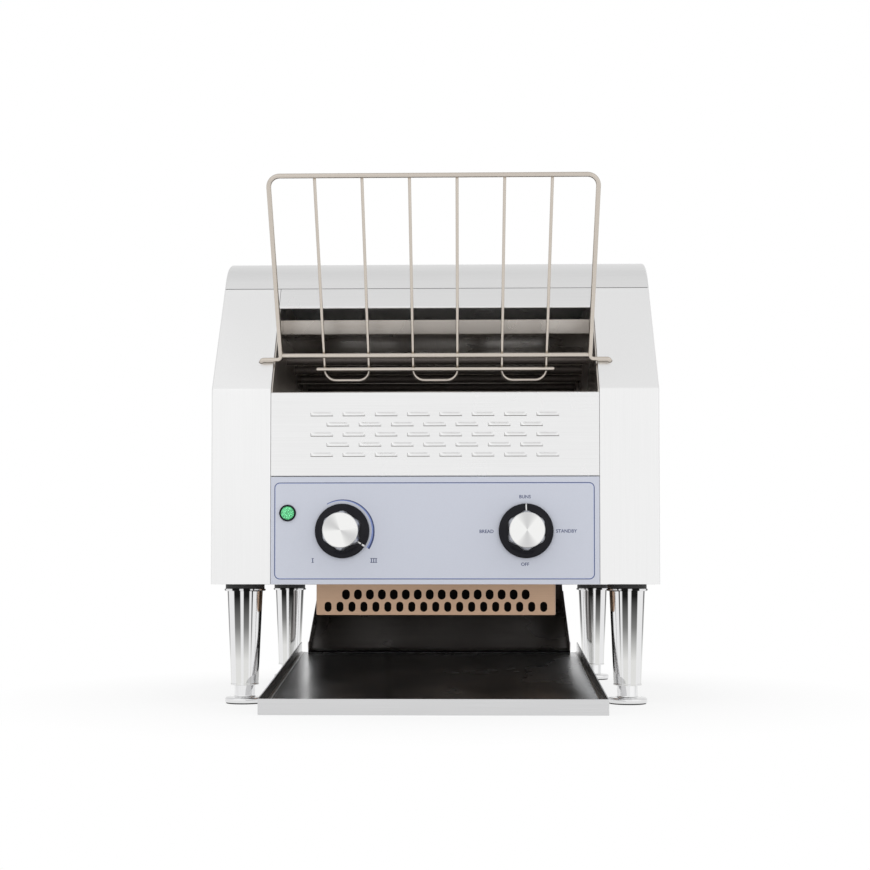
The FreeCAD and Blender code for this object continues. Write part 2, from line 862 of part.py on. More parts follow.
def belt_point(step):
    """Place and direction of the belt line at a number of pitches from the idler's top."""
    run = belt_span / belt_pitch
    half_wheel = belt_teeth / 2
    step = step % belt_strands
    if step < run:
        return idler_y + step * belt_pitch, shaft_height + belt_radius
    if step < run + half_wheel:
        angle = pi / 2 - (step - run) * 2 * pi / belt_teeth
        return drive_y + belt_radius * cos(angle), shaft_height + belt_radius * sin(angle)
    if step < 2 * run + half_wheel:
        return drive_y - (step - run - half_wheel) * belt_pitch, shaft_height - belt_radius
    angle = -pi / 2 - (step - 2 * run - half_wheel) * 2 * pi / belt_teeth
    return idler_y + belt_radius * cos(angle), shaft_height + belt_radius * sin(angle)


def strand_outline():
    """A wire bent into square waves: (across, along) corners of its flat outline."""
    gap = (belt_width - strand_loops * strand_loop_width) / (strand_loops + 1)
    line = [(-belt_width / 2, 0)]
    x = -belt_width / 2
    for _ in range(strand_loops):
        x += gap
        line += [(x, 0), (x, belt_pitch + strand_hook)]
        x += strand_loop_width
        line += [(x, belt_pitch + strand_hook), (x, 0)]
    line.append((belt_width / 2, 0))
    half = strand_wire / 2
    return beside(line, half) + beside(line, -half)[::-1]


def make_conveyor_belt():
    """Bent-wire strands, each hooked over the next, round both rows of sprockets."""
    outline = strand_outline()
    flat = prism(outline, "z", -strand_thickness / 2, strand_thickness / 2)
    strands = []
    for k in range(belt_strands):
        here = belt_point(k)
        ahead = belt_point(k + 1)
        lean = atan2(ahead[1] - here[1], ahead[0] - here[0]) + strand_tilt
        strand = flat.copy()
        strand.rotate(vec(0, 0, 0), vec(1, 0, 0), degrees(lean))
        strand.translate(vec(0, here[0], here[1]))
        strands.append(strand)
    return group(strands)


def sprocket_outline(teeth, root, tip, turn):
    """Trapezoid teeth between the wires or rollers they push."""
    step = 2 * pi / teeth
    points = []
    for k in range(teeth):
        middle = turn + (k + 0.5) * step
        for share, radius in ((-0.30, root), (-0.12, tip), (0.12, tip), (0.30, root)):
            points.append((radius * cos(middle + share * step), radius * sin(middle + share * step)))
    return points


def make_belt_sprockets(y, turn):
    """Toothed wheels on one shaft, each where the strands are straight."""
    root = belt_radius - sprocket_seat
    tip = belt_radius + sprocket_tip_rise - strand_wire
    outline = shifted(sprocket_outline(belt_teeth, root, tip, turn), y, shaft_height)
    wheels = []
    gap = (belt_width - strand_loops * strand_loop_width) / (strand_loops + 1)
    for k in range(strand_loops + 1):
        x = -belt_width / 2 + gap / 2 + k * (gap + strand_loop_width)
        wheel = prism(outline, "x", x - sprocket_width / 2, x + sprocket_width / 2)
        bore = bore_round(shaft_radius, seat_gap / 4, "x", (y, shaft_height), x - sprocket_width,
                          x + sprocket_width)
        wheels.append(wheel.cut(bore))
    return group(wheels)


def make_shaft(y, left, right):
    return cylinder(shaft_radius, right - left, (left, y, shaft_height), (1, 0, 0))


def make_shaft_bushes():
    """Four flanged bushes, pressed into the side plates from outside."""
    bushes = []
    for y, z in bearing_places():
        for side in (-1, 1):
            start = (side * (plate_in - bush_inside), y, z)
            neck = plate + bush_inside
            profile = [(0, 0), (bush_radius, 0), (bush_radius, neck), (bush_flange_radius, neck),
                       (bush_flange_radius, neck + bush_flange), (0, neck + bush_flange)]
            bush = spun_flats(profile, start, (side, 0, 0), small_round_sides)
            ends = sorted((start[0] - side, start[0] + side * (neck + bush_flange + 1)))
            bushes.append(bush.cut(bore_round(shaft_radius, running_gap, "x", (y, z), ends[0], ends[1])))
    return group(bushes)


def chain_point(step):
    """Place of chain pin number step, counted round the loop from the drive wheel."""
    run = chain_span / chain_pitch
    half_wheel = chain_teeth / 2
    along = radians(chain_angle)
    step = step % chain_links
    side = (-sin(along) * chain_radius, cos(along) * chain_radius)
    ahead = (cos(along) * chain_pitch, sin(along) * chain_pitch)
    if step < run:
        return drive_y + side[0] + step * ahead[0], shaft_height + side[1] + step * ahead[1]
    if step < run + half_wheel:
        angle = along + pi / 2 - (step - run) * 2 * pi / chain_teeth
        return motor_y + chain_radius * cos(angle), motor_height + chain_radius * sin(angle)
    if step < 2 * run + half_wheel:
        back = step - run - half_wheel
        return motor_y - side[0] - back * ahead[0], motor_height - side[1] - back * ahead[1]
    angle = along - pi / 2 - (step - 2 * run - half_wheel) * 2 * pi / chain_teeth
    return drive_y + chain_radius * cos(angle), shaft_height + chain_radius * sin(angle)


def link_outline(here, ahead, height):
    """One chain link seen from the side: a bar that ends a little past both pins."""
    angle = atan2(ahead[1] - here[1], ahead[0] - here[0])
    length = hypot(ahead[0] - here[0], ahead[1] - here[1])
    half = height / 2
    past = half * 0.8
    local = [(-past, -half), (length + past, -half), (length + past, half), (-past, half)]
    return [(here[0] + a * cos(angle) - b * sin(angle), here[1] + a * sin(angle) + b * cos(angle))
            for a, b in local]


def make_drive_chain():
    """Roller chain: solid inner links and pairs of outer plates by turns."""
    links = []
    half = chain_roller_width / 2
    for k in range(chain_links):
        outline = link_outline(chain_point(k), chain_point(k + 1), chain_plate_height)
        if k % 2:
            for low in (-half - seat_gap - chain_plate, half + seat_gap):
                links.append(prism(outline, "x", chain_x + low, chain_x + low + chain_plate))
        else:
            narrow = link_outline(chain_point(k), chain_point(k + 1), chain_plate_height * 0.8)
            links.append(prism(narrow, "x", chain_x - half, chain_x + half))
    return group(links)


def make_chain_wheel(y, z, bore):
    """Small chain wheel inside the chain, with its teeth left out."""
    root = chain_radius - chain_plate_height / 2 - chain_root_gap
    wheel = many_sided(root, 2 * chain_teeth, "x", (y, z), chain_x - chain_wheel_width / 2,
                       chain_x + chain_wheel_width / 2)
    hole = bore_round(bore, seat_gap / 4, "x", (y, z), chain_x - chain_wheel_width, chain_x + chain_wheel_width)
    return wheel.cut(hole)


def motor_face_x():
    return chain_x + chain_roller_width / 2 + seat_gap + chain_plate + 2.5


def make_gear_motor():
    """Flat gear motor: round gearbox, its bored nose, and the coil beside it."""
    face = motor_face_x() + bracket_sheet
    end = face + motor_length
    gearbox = many_sided(motor_radius, round_sides, "x", (motor_y, motor_height), face, end)
    coil = box(face, end, motor_y - motor_radius - motor_coil_length, motor_y - motor_radius / 2,
               motor_height - motor_coil_width / 2, motor_height + motor_coil_width / 2)
    bore = bore_round(motor_shaft_radius, running_gap, "x", (motor_y, motor_height), face - 1,
                      face + 0.6 * motor_length)
    return gearbox.fuse(coil).removeSplitter().cut(bore)


def make_motor_bracket():
    """Bent bracket that holds the motor clear of the chain, on the outside of the side plate."""
    face = motor_face_x()
    half = bracket_size / 2
    front = motor_y - half
    low = motor_height - half
    wall = box(face, face + bracket_sheet, front, motor_y + half, low, motor_height + half)
    front_leg = box(half_mouth, face, front, front + bracket_sheet, low, motor_height + half / 2)
    front_foot = box(half_mouth, half_mouth + bracket_sheet, front - flange, front, low, motor_height + half / 2)
    low_leg = box(half_mouth, face, front, motor_y + half, low, low + bracket_sheet)
    low_foot = box(half_mouth, half_mouth + bracket_sheet, front, motor_y + half, low - flange, low)
    bracket = wall.fuse([front_leg, front_foot, low_leg, low_foot]).removeSplitter()
    return bracket.cut(many_sided(motor_shaft_radius * 2, small_round_sides, "x", (motor_y, motor_height),
                                  face - 2, face + 2 * bracket_sheet))


def make_motor_shaft():
    start = chain_x - chain_wheel_width
    end = motor_face_x() + bracket_sheet + motor_length / 2
    return cylinder(motor_shaft_radius, end - start, (start, motor_y, motor_height), (1, 0, 0))


def make_belt_rails():
    """Rails under the upper run, carried by two cross bars between the side plates."""
    top = shaft_height + belt_radius - strand_thickness / 2 - strand_wire / 2 * sin(strand_tilt) - seat_gap
    low = top - rail_height
    front = idler_y + rail_bar_inset
    rear = drive_y - rail_bar_inset
    pieces = []
    for y in (front, rear):
        pieces.append(box(-plate_in, plate_in, y - rail_bar / 2, y + rail_bar / 2, low - rail_bar, low))
    for x in rail_x:
        pieces.append(box(x - rail_width / 2, x + rail_width / 2, front - rail_bar_inset / 2,
                          rear + rail_bar_inset / 2, low, top))
    return pieces[0].fuse(pieces[1:])


# Heat

def make_heaters(places):
    """Sheathed heating rods across the chamber, through the side plates at both ends."""
    return group([many_sided(heater_radius, 8, "x", place, -half_mouth, half_mouth) for place in places])


def make_heater_caps():
    """Ceramic end caps of the rods, on the outside of the side plates."""
    upper, lower = heater_places()
    caps = []
    for place in upper + lower:
        cap = many_sided(cap_body_radius, 6, "x", place, half_mouth, half_mouth + cap_body_length)
        caps += [cap, mirrored(cap)]
    return group(caps)


def make_upper_reflector():
    path = [(seam_y + 4, reflector_height + flange), (seam_y + 10, reflector_height),
            (reflector_rear_y, reflector_height), (reflector_rear_y, reflector_height - 3.5 * flange)]
    return folded_sheet(path, [2, 2], thin_sheet, -plate_in, plate_in)


def make_crumb_sheet():
    """Sheet under the belt that sheds crumbs towards the chute."""
    path = [(idler_y - 14, crumb_sheet_height + 4), (idler_y - 8, crumb_sheet_height),
            (crumb_sheet_rear_y, crumb_sheet_height - 6)]
    return folded_sheet(path, [3], -thin_sheet, -plate_in, plate_in)


def make_heat_shield():
    """Roof and back wall of the space that holds the controls and the fan."""
    path = [(panel_back + flange + 2, shield_height), (shield_rear_y, shield_height), (shield_rear_y, floor_top)]
    return folded_sheet(path, [2], thin_sheet, -plate_in, plate_in)


# Fan and guard

def make_fan_housing():
    half = fan_size / 2
    frame = box(-half, half, fan_y - half, fan_y + half, floor_top, floor_top + fan_depth)
    duct = many_sided(fan_duct_radius, round_sides, "z", (0, fan_y), floor_top - 1, floor_top + fan_depth + 1)
    ring = frame.cut(duct)
    top = floor_top + fan_depth
    struts = [box(-fan_duct_radius - 1, fan_duct_radius + 1, fan_y - fan_strut / 2, fan_y + fan_strut / 2, top - 3, top),
              box(-fan_strut / 2, fan_strut / 2, fan_y - fan_duct_radius - 1, fan_y + fan_duct_radius + 1, top - 3, top)]
    carrier = many_sided(fan_hub_radius, small_round_sides, "z", (0, fan_y), top - 3, top)
    pin = cylinder(fan_pin_radius, fan_depth - 6, (0, fan_y, floor_top + 3), (0, 0, 1))
    return ring.fuse(struts + [carrier, pin]).removeSplitter()


def make_fan_rotor():
    """Hub on the fixed pin, with blades set at an angle."""
    low = floor_top + 4
    high = floor_top + fan_depth - 3 - slide_gap
    hub = many_sided(fan_hub_radius, small_round_sides, "z", (0, fan_y), low, high)
    blade_reach = fan_duct_radius * cos(pi / round_sides) - fan_tip_gap
    middle = (low + high) / 2
    blades = []
    for k in range(fan_blades):
        blade = box(fan_hub_radius - 1, blade_reach - 2, -9, 9, -0.6, 0.6)
        blade.rotate(vec(0, 0, 0), vec(1, 0, 0), fan_blade_angle)
        blade.rotate(vec(0, 0, 0), vec(0, 0, 1), k * 360 / fan_blades)
        blade.translate(vec(0, fan_y, middle))
        blades.append(blade)
    bore = cylinder(fan_pin_radius + running_gap, high - low + 2, (0, fan_y, low - 1), (0, 0, 1))
    return hub.fuse(blades).cut(bore)


def make_perforated_guard():
    """Shallow box under the floor, its front wall punched with two rows of long holes."""
    half = guard_width / 2
    top = underside_height
    low = top - guard_drop
    outer = box(-half, half, guard_front_y, guard_rear_y, low, top)
    corners = [e for e in outer.Edges if e.BoundBox.ZMax - e.BoundBox.ZMin > 1]
    outer = outer.makeFillet(3, corners)
    inner = box(-half + thin_sheet, half - thin_sheet, guard_front_y + thin_sheet, guard_rear_y - thin_sheet,
                low + thin_sheet, top + 1)
    guard = outer.cut(inner)
    holes = []
    for count, pitch, width, drop in ((guard_upper_holes, guard_hole_pitch, guard_hole_width, guard_upper_row_drop),
                                      (guard_lower_holes, guard_lower_pitch, guard_lower_hole_width,
                                       guard_lower_row_drop)):
        for k in range(count):
            x = (k - (count - 1) / 2) * pitch
            holes.append(long_hole(width, guard_hole_height, (x, top - drop), guard_front_y - 1,
                                   guard_front_y + 2 * thin_sheet))
    return guard.cut(holes)


# Chute and tray

def tray_floor_height(y):
    """Height of the tray floor's upper face."""
    return thin_sheet + tray_rise * (y + tray_front_reach)


def chute_line():
    """Path of the chute's upper face, from the rear wall of the drop to its lip in the tray."""
    end_slope = radians(chute_end_slope)
    low = tray_floor_height(chute_end_y) + slide_gap + 3 * slide_gap / 2 + thin_sheet
    lip = (chute_end_y, low)
    knee_y = chute_end_y + 10
    knee = (knee_y, low + 10 * tan(end_slope / 3))
    corner_z = knee[1] + (chute_rear_y - knee_y) * tan(end_slope)
    return [(chute_rear_y, chute_top_height), (chute_rear_y, corner_z), knee, lip]


def make_exit_chute():
    """Curved slide from behind the belt down into the tray, with turned-up edges."""
    line = chute_line()
    radii = [chute_radius, 12]
    sheet = folded_sheet(line, radii, thin_sheet, -plate_in, plate_in)
    half = chute_width / 2
    beyond = box(half, plate_in + 1, chute_end_y - 20, chute_rear_y + 20, 0, floor_top + 1)
    sheet = sheet.cut([beyond, mirrored(beyond)])
    edge = folded_sheet(line, radii, -chute_edge, half - thin_sheet, half)
    edge = edge.cut([box(0, body_width, 0, body_depth, floor_top - 8, body_height)])
    return sheet.fuse([edge, mirrored(edge)]).removeSplitter()


def make_collecting_tray():
    """Sloping tray: lip in front on the table, low side walls, two folded legs behind."""
    half = tray_width / 2
    front = -tray_front_reach
    floor = prism([(front, 0), (tray_rear_y, tray_rear_height), (tray_rear_y, tray_rear_height + thin_sheet),
                   (front, thin_sheet)], "x", -half, half)
    lip = box(-half, half, front, front + thin_sheet, 0, tray_lip_height)
    wall = prism([(front, 0), (tray_rear_y, tray_rear_height),
                  (tray_rear_y, tray_rear_height + tray_wall_height), (front, tray_lip_height)],
                 "x", half - thin_sheet, half)
    leg = box(half - tray_leg_width, half - thin_sheet, tray_rear_y - thin_sheet, tray_rear_y, 0,
              tray_rear_height)
    solids = [lip, wall, mirrored(wall), leg, mirrored(leg)]
    tray = floor.fuse(solids).removeSplitter()
    front_edges = []
    for edge in tray.Edges:
        bounds = edge.BoundBox
        upright = bounds.ZMax - bounds.ZMin > tray_lip_height - 0.5 and bounds.YMax - bounds.YMin < 0.01
        if upright and bounds.YMax < front + 0.01:
            front_edges.append(edge)
    return tray.makeFillet(0.9 * thin_sheet, front_edges) if front_edges else tray


# Feed rack

def rack_point(x, up, behind=0.0):
    """A point of the leaning rack: across, up its plane from the ears, and behind the plane."""
    lean = radians(rack_lean)
    start = on_slope(rack_slope_distance)
    clear = rack_wire_radius + slide_gap / 2
    y = start[0] + clear * out_of_slope[0] - up * sin(lean) + behind * cos(lean)
    z = start[1] + clear * out_of_slope[1] + up * cos(lean) + behind * sin(lean)
    return vec(x, y, z)


def make_rack_frame():
    """Thick wire bent into the frame, its ears ending in pegs, and the cross bar."""
    tip = rack_half_width + rack_ear_reach - rack_wire_radius
    peg = vec(0, -out_of_slope[0], -out_of_slope[1]) * rack_peg_length
    left_tip = rack_point(-tip, 0)
    right_tip = rack_point(tip, 0)
    points = [left_tip + peg, left_tip, rack_point(-rack_half_width, 0), rack_point(-rack_half_width, rack_length),
              rack_point(rack_half_width, rack_length), rack_point(rack_half_width, 0), right_tip, right_tip + peg]
    bend = rack_wire_radius * 1.3
    frame = bent_wire(points, [bend, rack_ear_bend, rack_top_corner, rack_top_corner, rack_ear_bend, bend],
                      rack_wire_radius, wire_sides)
    bar = rack_point(0, rack_crossbar_rise)
    reach = rack_half_width - rack_wire_radius * cos(pi / wire_sides)
    crossbar = many_sided(rack_wire_radius, wire_sides, "x", (bar.y, bar.z), -reach, reach)
    return group([frame, crossbar])


def make_rack_wires():
    """Three thin bent loops behind the frame, and the short bar across them in front."""
    behind = rack_wire_radius + rack_thin_radius + seat_gap / 4
    solids = []
    for pair in (-1, 0, 1):
        left = (2 * pair - 0.5) * rack_loop_pitch
        right = (2 * pair + 0.5) * rack_loop_pitch
        points = [rack_point(left, rack_length, behind), rack_point(left, -rack_loop_drop, behind),
                  rack_point(right, -rack_loop_drop, behind), rack_point(right, rack_length, behind)]
        solids.append(bent_wire(points, [rack_loop_corner, rack_loop_corner], rack_thin_radius, thin_wire_sides))
    bar = rack_point(0, -rack_lower_bar_drop)
    solids.append(many_sided(rack_wire_radius, wire_sides, "x", (bar.y, bar.z), -rack_lower_bar_half,
                             rack_lower_bar_half))
    return group(solids)


# Wiring ends

def make_terminal_block():
    """Three-way block on the outside of the left side plate."""
    x1 = -half_mouth
    x0 = x1 - terminal_width
    block = box(x0, x1, terminal_y - terminal_length / 2, terminal_y + terminal_length / 2, terminal_z,
                terminal_z + terminal_height)
    cuts = []
    third = terminal_length / 3
    for k in (-1, 0, 1):
        y = terminal_y + k * third
        cuts.append(box(x0 - 1, x0 + terminal_width / 3, y - third * 0.3, y + third * 0.3, terminal_z - 1,
                        terminal_z + terminal_height * 0.4))
        cuts.append(many_sided(third * 0.22, 8, "x", (y, terminal_z + terminal_height * 0.7), x0 - 1,
                               x0 + terminal_width / 2))
    return block.cut(cuts)


def make_cable_gland():
    """Bushing for the supply cord in the rear panel; no cord is fitted."""
    y = body_depth
    profile = [(0, -gland_inside), (gland_radius, -gland_inside), (gland_radius, 0), (gland_flange_radius, 0),
               (gland_flange_radius, 3), (gland_radius, 4), (gland_radius - 2.5, gland_reach), (0, gland_reach)]
    body = spun_flats(profile, (gland_x, y, gland_height), (0, 1, 0), small_round_sides)
    return body.cut(cylinder(gland_bore, gland_reach + gland_inside + 2, (gland_x, y - gland_inside - 1, gland_height),
                             (0, 1, 0)))


# Pieces

side_cover = make_side_cover()
save("right_side_cover", side_cover)
save("left_side_cover", mirrored(side_cover))
save("top_cover", make_top_cover())
save("entry_header", make_entry_header())
save("louvre_panel", make_louvre_panel())
save("rear_panel", make_rear_panel())
save("rear_panel_screws", make_rear_screws())
save("base_plate", make_base_plate())
side_plate = make_side_plate()
save("right_side_plate", side_plate)
save("left_side_plate", mirrored(side_plate))

save("control_panel", make_control_panel())
save("control_overlay", make_control_overlay())
save("lamp_housing", make_lamp_housing())
save("lamp_lens", make_lamp_lens())
for label, centre_x, size, depth in (("speed", speed_knob_x, controller_size, controller_depth),
                                     ("mode", mode_knob_x, switch_size, switch_depth)):
    save(label + "_spindle", make_spindle(centre_x))
    save(label + "_knob_skirt", make_skirt(centre_x))
    save(label + "_knob_grip", make_grip(centre_x))
    save({"speed": "speed_controller", "mode": "mode_switch"}[label], make_control_body(centre_x, size, depth))

for name, (leg_at_x, leg_at_y) in zip(("front_left", "front_right", "rear_left", "rear_right"), leg_places()):
    save(name + "_leg", make_leg(leg_at_x, leg_at_y))
    save(name + "_foot", make_foot(leg_at_x, leg_at_y))
save("leg_nuts", make_leg_nuts())

save("conveyor_belt", make_conveyor_belt())
save("idler_shaft", make_shaft(idler_y, -half_mouth - 8, half_mouth + 8))
save("idler_sprockets", make_belt_sprockets(idler_y, pi / 2))
save("drive_shaft", make_shaft(drive_y, -half_mouth - 8, chain_x + 5))
save("drive_sprockets", make_belt_sprockets(drive_y, drive_turn))
save("shaft_bushes", make_shaft_bushes())
save("belt_rails", make_belt_rails())
save("drive_chain", make_drive_chain())
save("drive_chain_wheel", make_chain_wheel(drive_y, shaft_height, shaft_radius))
save("motor_chain_wheel", make_chain_wheel(motor_y, motor_height, motor_shaft_radius))
save("motor_shaft", make_motor_shaft())
save("gear_motor", make_gear_motor())
save("motor_bracket", make_motor_bracket())

upper_places, lower_places = heater_places()
save("upper_heaters", make_heaters(upper_places))
save("lower_heaters", make_heaters(lower_places))
save("heater_caps", make_heater_caps())
save("upper_reflector", make_upper_reflector())
save("crumb_sheet", make_crumb_sheet())
save("heat_shield", make_heat_shield())

save("fan_housing", make_fan_housing())
save("fan_rotor", make_fan_rotor())
save("perforated_guard", make_perforated_guard())
save("exit_chute", make_exit_chute())
save("collecting_tray", make_collecting_tray())
save("rack_frame", make_rack_frame())
save("rack_wires", make_rack_wires())
save("terminal_block", make_terminal_block())
save("cable_gland", make_cable_gland())
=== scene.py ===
# %% [markdown]
# # A conveyor toaster, dressed in Blender
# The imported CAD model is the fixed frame. This file gives each surface its finish and
# replaces the pieces whose look needs more than flat facets: the wire rack, the wire belt,
# the heating rods, the legs and feet, the knobs, the lamp, the punched guard, the rear
# screws and the cord gland. Places are written in millimetres, as in the CAD drawing, and
# MM turns them into metres where a mesh or a setting is made.

# %% Load the frame
import json
import math
import bmesh
import bpy
import numpy as np
from mathutils import Matrix, Vector


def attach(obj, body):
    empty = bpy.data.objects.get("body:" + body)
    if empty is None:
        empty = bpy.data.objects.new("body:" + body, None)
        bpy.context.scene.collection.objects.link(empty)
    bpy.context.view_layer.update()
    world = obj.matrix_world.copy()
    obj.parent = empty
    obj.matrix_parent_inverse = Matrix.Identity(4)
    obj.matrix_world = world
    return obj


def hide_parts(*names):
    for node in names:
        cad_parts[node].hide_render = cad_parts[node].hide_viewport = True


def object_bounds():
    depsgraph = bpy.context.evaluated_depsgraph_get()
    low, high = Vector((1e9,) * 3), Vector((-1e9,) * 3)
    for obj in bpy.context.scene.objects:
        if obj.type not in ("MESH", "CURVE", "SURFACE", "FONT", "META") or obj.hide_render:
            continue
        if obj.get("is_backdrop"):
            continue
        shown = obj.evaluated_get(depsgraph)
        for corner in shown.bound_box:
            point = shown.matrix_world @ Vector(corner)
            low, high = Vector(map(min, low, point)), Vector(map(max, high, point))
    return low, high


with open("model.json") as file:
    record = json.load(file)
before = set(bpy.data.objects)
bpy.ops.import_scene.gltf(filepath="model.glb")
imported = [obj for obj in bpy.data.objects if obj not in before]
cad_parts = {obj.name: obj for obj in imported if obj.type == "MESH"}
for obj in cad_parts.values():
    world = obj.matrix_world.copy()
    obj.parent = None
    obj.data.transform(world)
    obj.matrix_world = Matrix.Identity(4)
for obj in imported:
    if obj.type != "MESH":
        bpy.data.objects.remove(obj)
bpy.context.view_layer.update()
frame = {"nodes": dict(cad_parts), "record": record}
MM = 0.001
FRONT = -148.0 * MM

# %% [markdown]
# ## Mesh helpers
# Round metal pieces are profiles carried round an axis, and wires are rings carried along a
# path. Both are grids of points, so one helper turns any grid into a mesh: it joins each
# point to its neighbours and can close the grid in either direction.


# %% Grid to mesh
def grid_mesh(name, grid, close_u=False, close_v=False, caps=False):
    """A mesh from a grid of points shaped (u, v, 3); each cell is one quad.

    With close_u or close_v the last row or column joins the first. With caps, the first
    and last rows become flat ends.
    """
    rows, columns = grid.shape[:2]
    ends = index = np.arange(rows * columns).reshape(rows, columns)
    if close_u:
        index = np.vstack([index, index[:1]])
    if close_v:
        index = np.hstack([index, index[:, :1]])
    quads = np.stack([index[:-1, :-1], index[:-1, 1:], index[1:, 1:], index[1:, :-1]], -1)
    faces = quads.reshape(-1, 4).tolist()
    if caps:
        faces += [ends[0][::-1].tolist(), ends[-1].tolist()]
    mesh = bpy.data.meshes.new(name)
    mesh.from_pydata(grid.reshape(-1, 3).tolist(), [], faces)
    mesh.update()
    return mesh


def flat_box(x0, x1, z0, z1, y):
    """An upright rectangle at one depth y, in millimetres."""
    return grid_mesh("box", np.array([[(x0, y, z0), (x1, y, z0)], [(x0, y, z1), (x1, y, z1)]]) * MM)


def place_mm(x, y, z):
    """A drawing place in millimetres, with y counted from the front face."""
    return (x, y + FRONT / MM, z)


# %% Mesh to piece
def recalculated(mesh):
    """Merge points within a hundredth of a millimetre and turn every face outwards."""
    work = bmesh.new()
    work.from_mesh(mesh)
    bmesh.ops.remove_doubles(work, verts=work.verts, dist=0.01 * MM)
    bmesh.ops.recalc_face_normals(work, faces=work.faces)
    work.to_mesh(mesh)
    work.free()
    mesh.update()


def joined(meshes, name):
    """Several meshes put together as one."""
    points, faces, offset = [], [], 0
    for mesh in meshes:
        count = len(mesh.vertices)
        co = np.empty(count * 3)
        mesh.vertices.foreach_get("co", co)
        points.append(co.reshape(-1, 3))
        faces += [[v + offset for v in polygon.vertices] for polygon in mesh.polygons]
        offset += count
        bpy.data.meshes.remove(mesh)
    whole = bpy.data.meshes.new(name)
    whole.from_pydata(np.vstack(points).tolist(), [], faces)
    whole.update()
    return whole


def into_scene(name, data):
    """A new object of the data, linked into the scene."""
    obj = bpy.data.objects.new(name, data)
    bpy.context.scene.collection.objects.link(obj)
    return obj


def smoothed(mesh, angle):
    """Smooth shading with sharp edges where faces meet at more than the angle."""
    for polygon in mesh.polygons:
        polygon.use_smooth = True
    mesh.set_sharp_from_angle(angle=math.radians(angle))


def placed(name, mesh, material, body, replaces=(), smooth_angle=35.0):
    """Give a mesh, or a list of meshes, its finish, smooth it and let it ride on its body."""
    if isinstance(mesh, list):
        mesh = joined(mesh, name)
    mesh.materials.append(material)
    obj = into_scene(name, mesh)
    recalculated(mesh)
    smoothed(mesh, smooth_angle)
    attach(obj, body)
    if replaces:
        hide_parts(*replaces)
    return obj


def facing(mesh, way):
    """Turn a flat mesh over if it looks away from the way along Y: -1 is the front."""
    if sum(p.normal.y for p in mesh.polygons) * way < 0:
        mesh.flip_normals()


def flat_piece(name, mesh, material, body, way=-1):
    """A flat mesh kept as it is, with its finish, that looks one way along Y."""
    mesh.materials.append(material)
    facing(mesh, way)
    obj = into_scene(name, mesh)
    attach(obj, body)


print("mesh helpers ready")


# %% Node helper
class Tree:
    """A node tree written in steps: each step adds a node and gives back one of its outputs."""

    def __init__(self, owner):
        self.nodes, self.links = owner.nodes, owner.links

    def fill(self, node, inputs):
        """Give each named input a value or another node's output."""
        for name, value in inputs.items():
            if isinstance(value, bpy.types.NodeSocket):
                self.links.new(value, node.inputs[name])
            else:
                node.inputs[name].default_value = value

    def add(self, kind, output=0, inputs=None, **settings):
        """A new node with its own settings and inputs."""
        node = self.nodes.new("ShaderNode" + kind)
        for name, value in settings.items():
            setattr(node, name, value)
        self.fill(node, inputs or {})
        return node.outputs[output]

    def math(self, what, *values):
        """One sum on one or two values."""
        return self.add("Math", 0, dict(enumerate(values)), operation=what)

    def mix(self, share, first, second):
        """Two shaders mixed by a share."""
        return self.add("MixShader", 0, {0: share, 1: first, 2: second})

    def span(self, value, low, high, to_low=0.0, to_high=1.0, **settings):
        """The value carried from low and high to two new values."""
        return self.add("MapRange", "Result", {"Value": value, "From Min": low, "From Max": high,
                                               "To Min": to_low, "To Max": to_high}, **settings)

    def ramp(self, value, stops):
        """A colour ramp through (place, colour) stops."""
        colour = self.add("ValToRGB", "Color", {"Fac": value})
        band = colour.node.color_ramp
        for _ in range(len(stops) - 2):
            band.elements.new(0.5)
        for k, (place, shade) in enumerate(stops):
            band.elements[k].position = place
            band.elements[k].color = (*shade, 1.0)
        return colour


print("node helper ready")

# %% [markdown]
# ## Shared surface effects
# Rolled sheet has fine lines along one direction and faint clouds where hands and cloths
# have been. Both come from noise on Object coordinates, stretched along the rolling
# direction. They are built once as a node group that puts out two masks.


# %% The sheet grain group
def make_sheet_grain():
    """Two masks: Lines is noise squeezed along Stretch, Cloud is slow noise."""
    group = bpy.data.node_groups.new("sheet_grain", "ShaderNodeTree")
    for name, way, kind in (("Vector", "INPUT", "Vector"), ("Stretch", "INPUT", "Vector"),
                            ("Cloud Scale", "INPUT", "Float"), ("Lines", "OUTPUT", "Float"),
                            ("Cloud", "OUTPUT", "Float")):
        group.interface.new_socket(name, in_out=way, socket_type="NodeSocket" + kind)
    tree = Tree(group)
    given = tree.nodes.new("NodeGroupInput").outputs
    squeezed = tree.add("VectorMath", 0, {0: given["Vector"], 1: given["Stretch"]}, operation="MULTIPLY")
    lines = tree.add("TexNoise", "Fac", {"Vector": squeezed, "Scale": 1.0, "Detail": 4.0})
    cloud = tree.add("TexNoise", "Fac", {"Vector": given["Vector"], "Scale": given["Cloud Scale"],
                                         "Detail": 3.0})
    tree.fill(tree.nodes.new("NodeGroupOutput"), {"Lines": lines, "Cloud": cloud})
    return group


sheet_grain = make_sheet_grain()
NOISE_LOW, NOISE_HIGH = 0.3, 0.7
ALONG_X = (12.0, 1600.0, 1600.0)
ALONG_Y = (1600.0, 12.0, 1600.0)
ALONG_Z = (1600.0, 1600.0, 12.0)
EVEN = (900.0, 900.0, 900.0)
print("group:", sheet_grain.name)


# %% [markdown]
# ## Finishes
# Every finish is a Principled shader with the grain group behind it: the lines tilt the
# surface a little and vary its colour, and the clouds move its roughness. Numbers that are
# the same all over, such as Metallic, stay on the shader's own sockets.


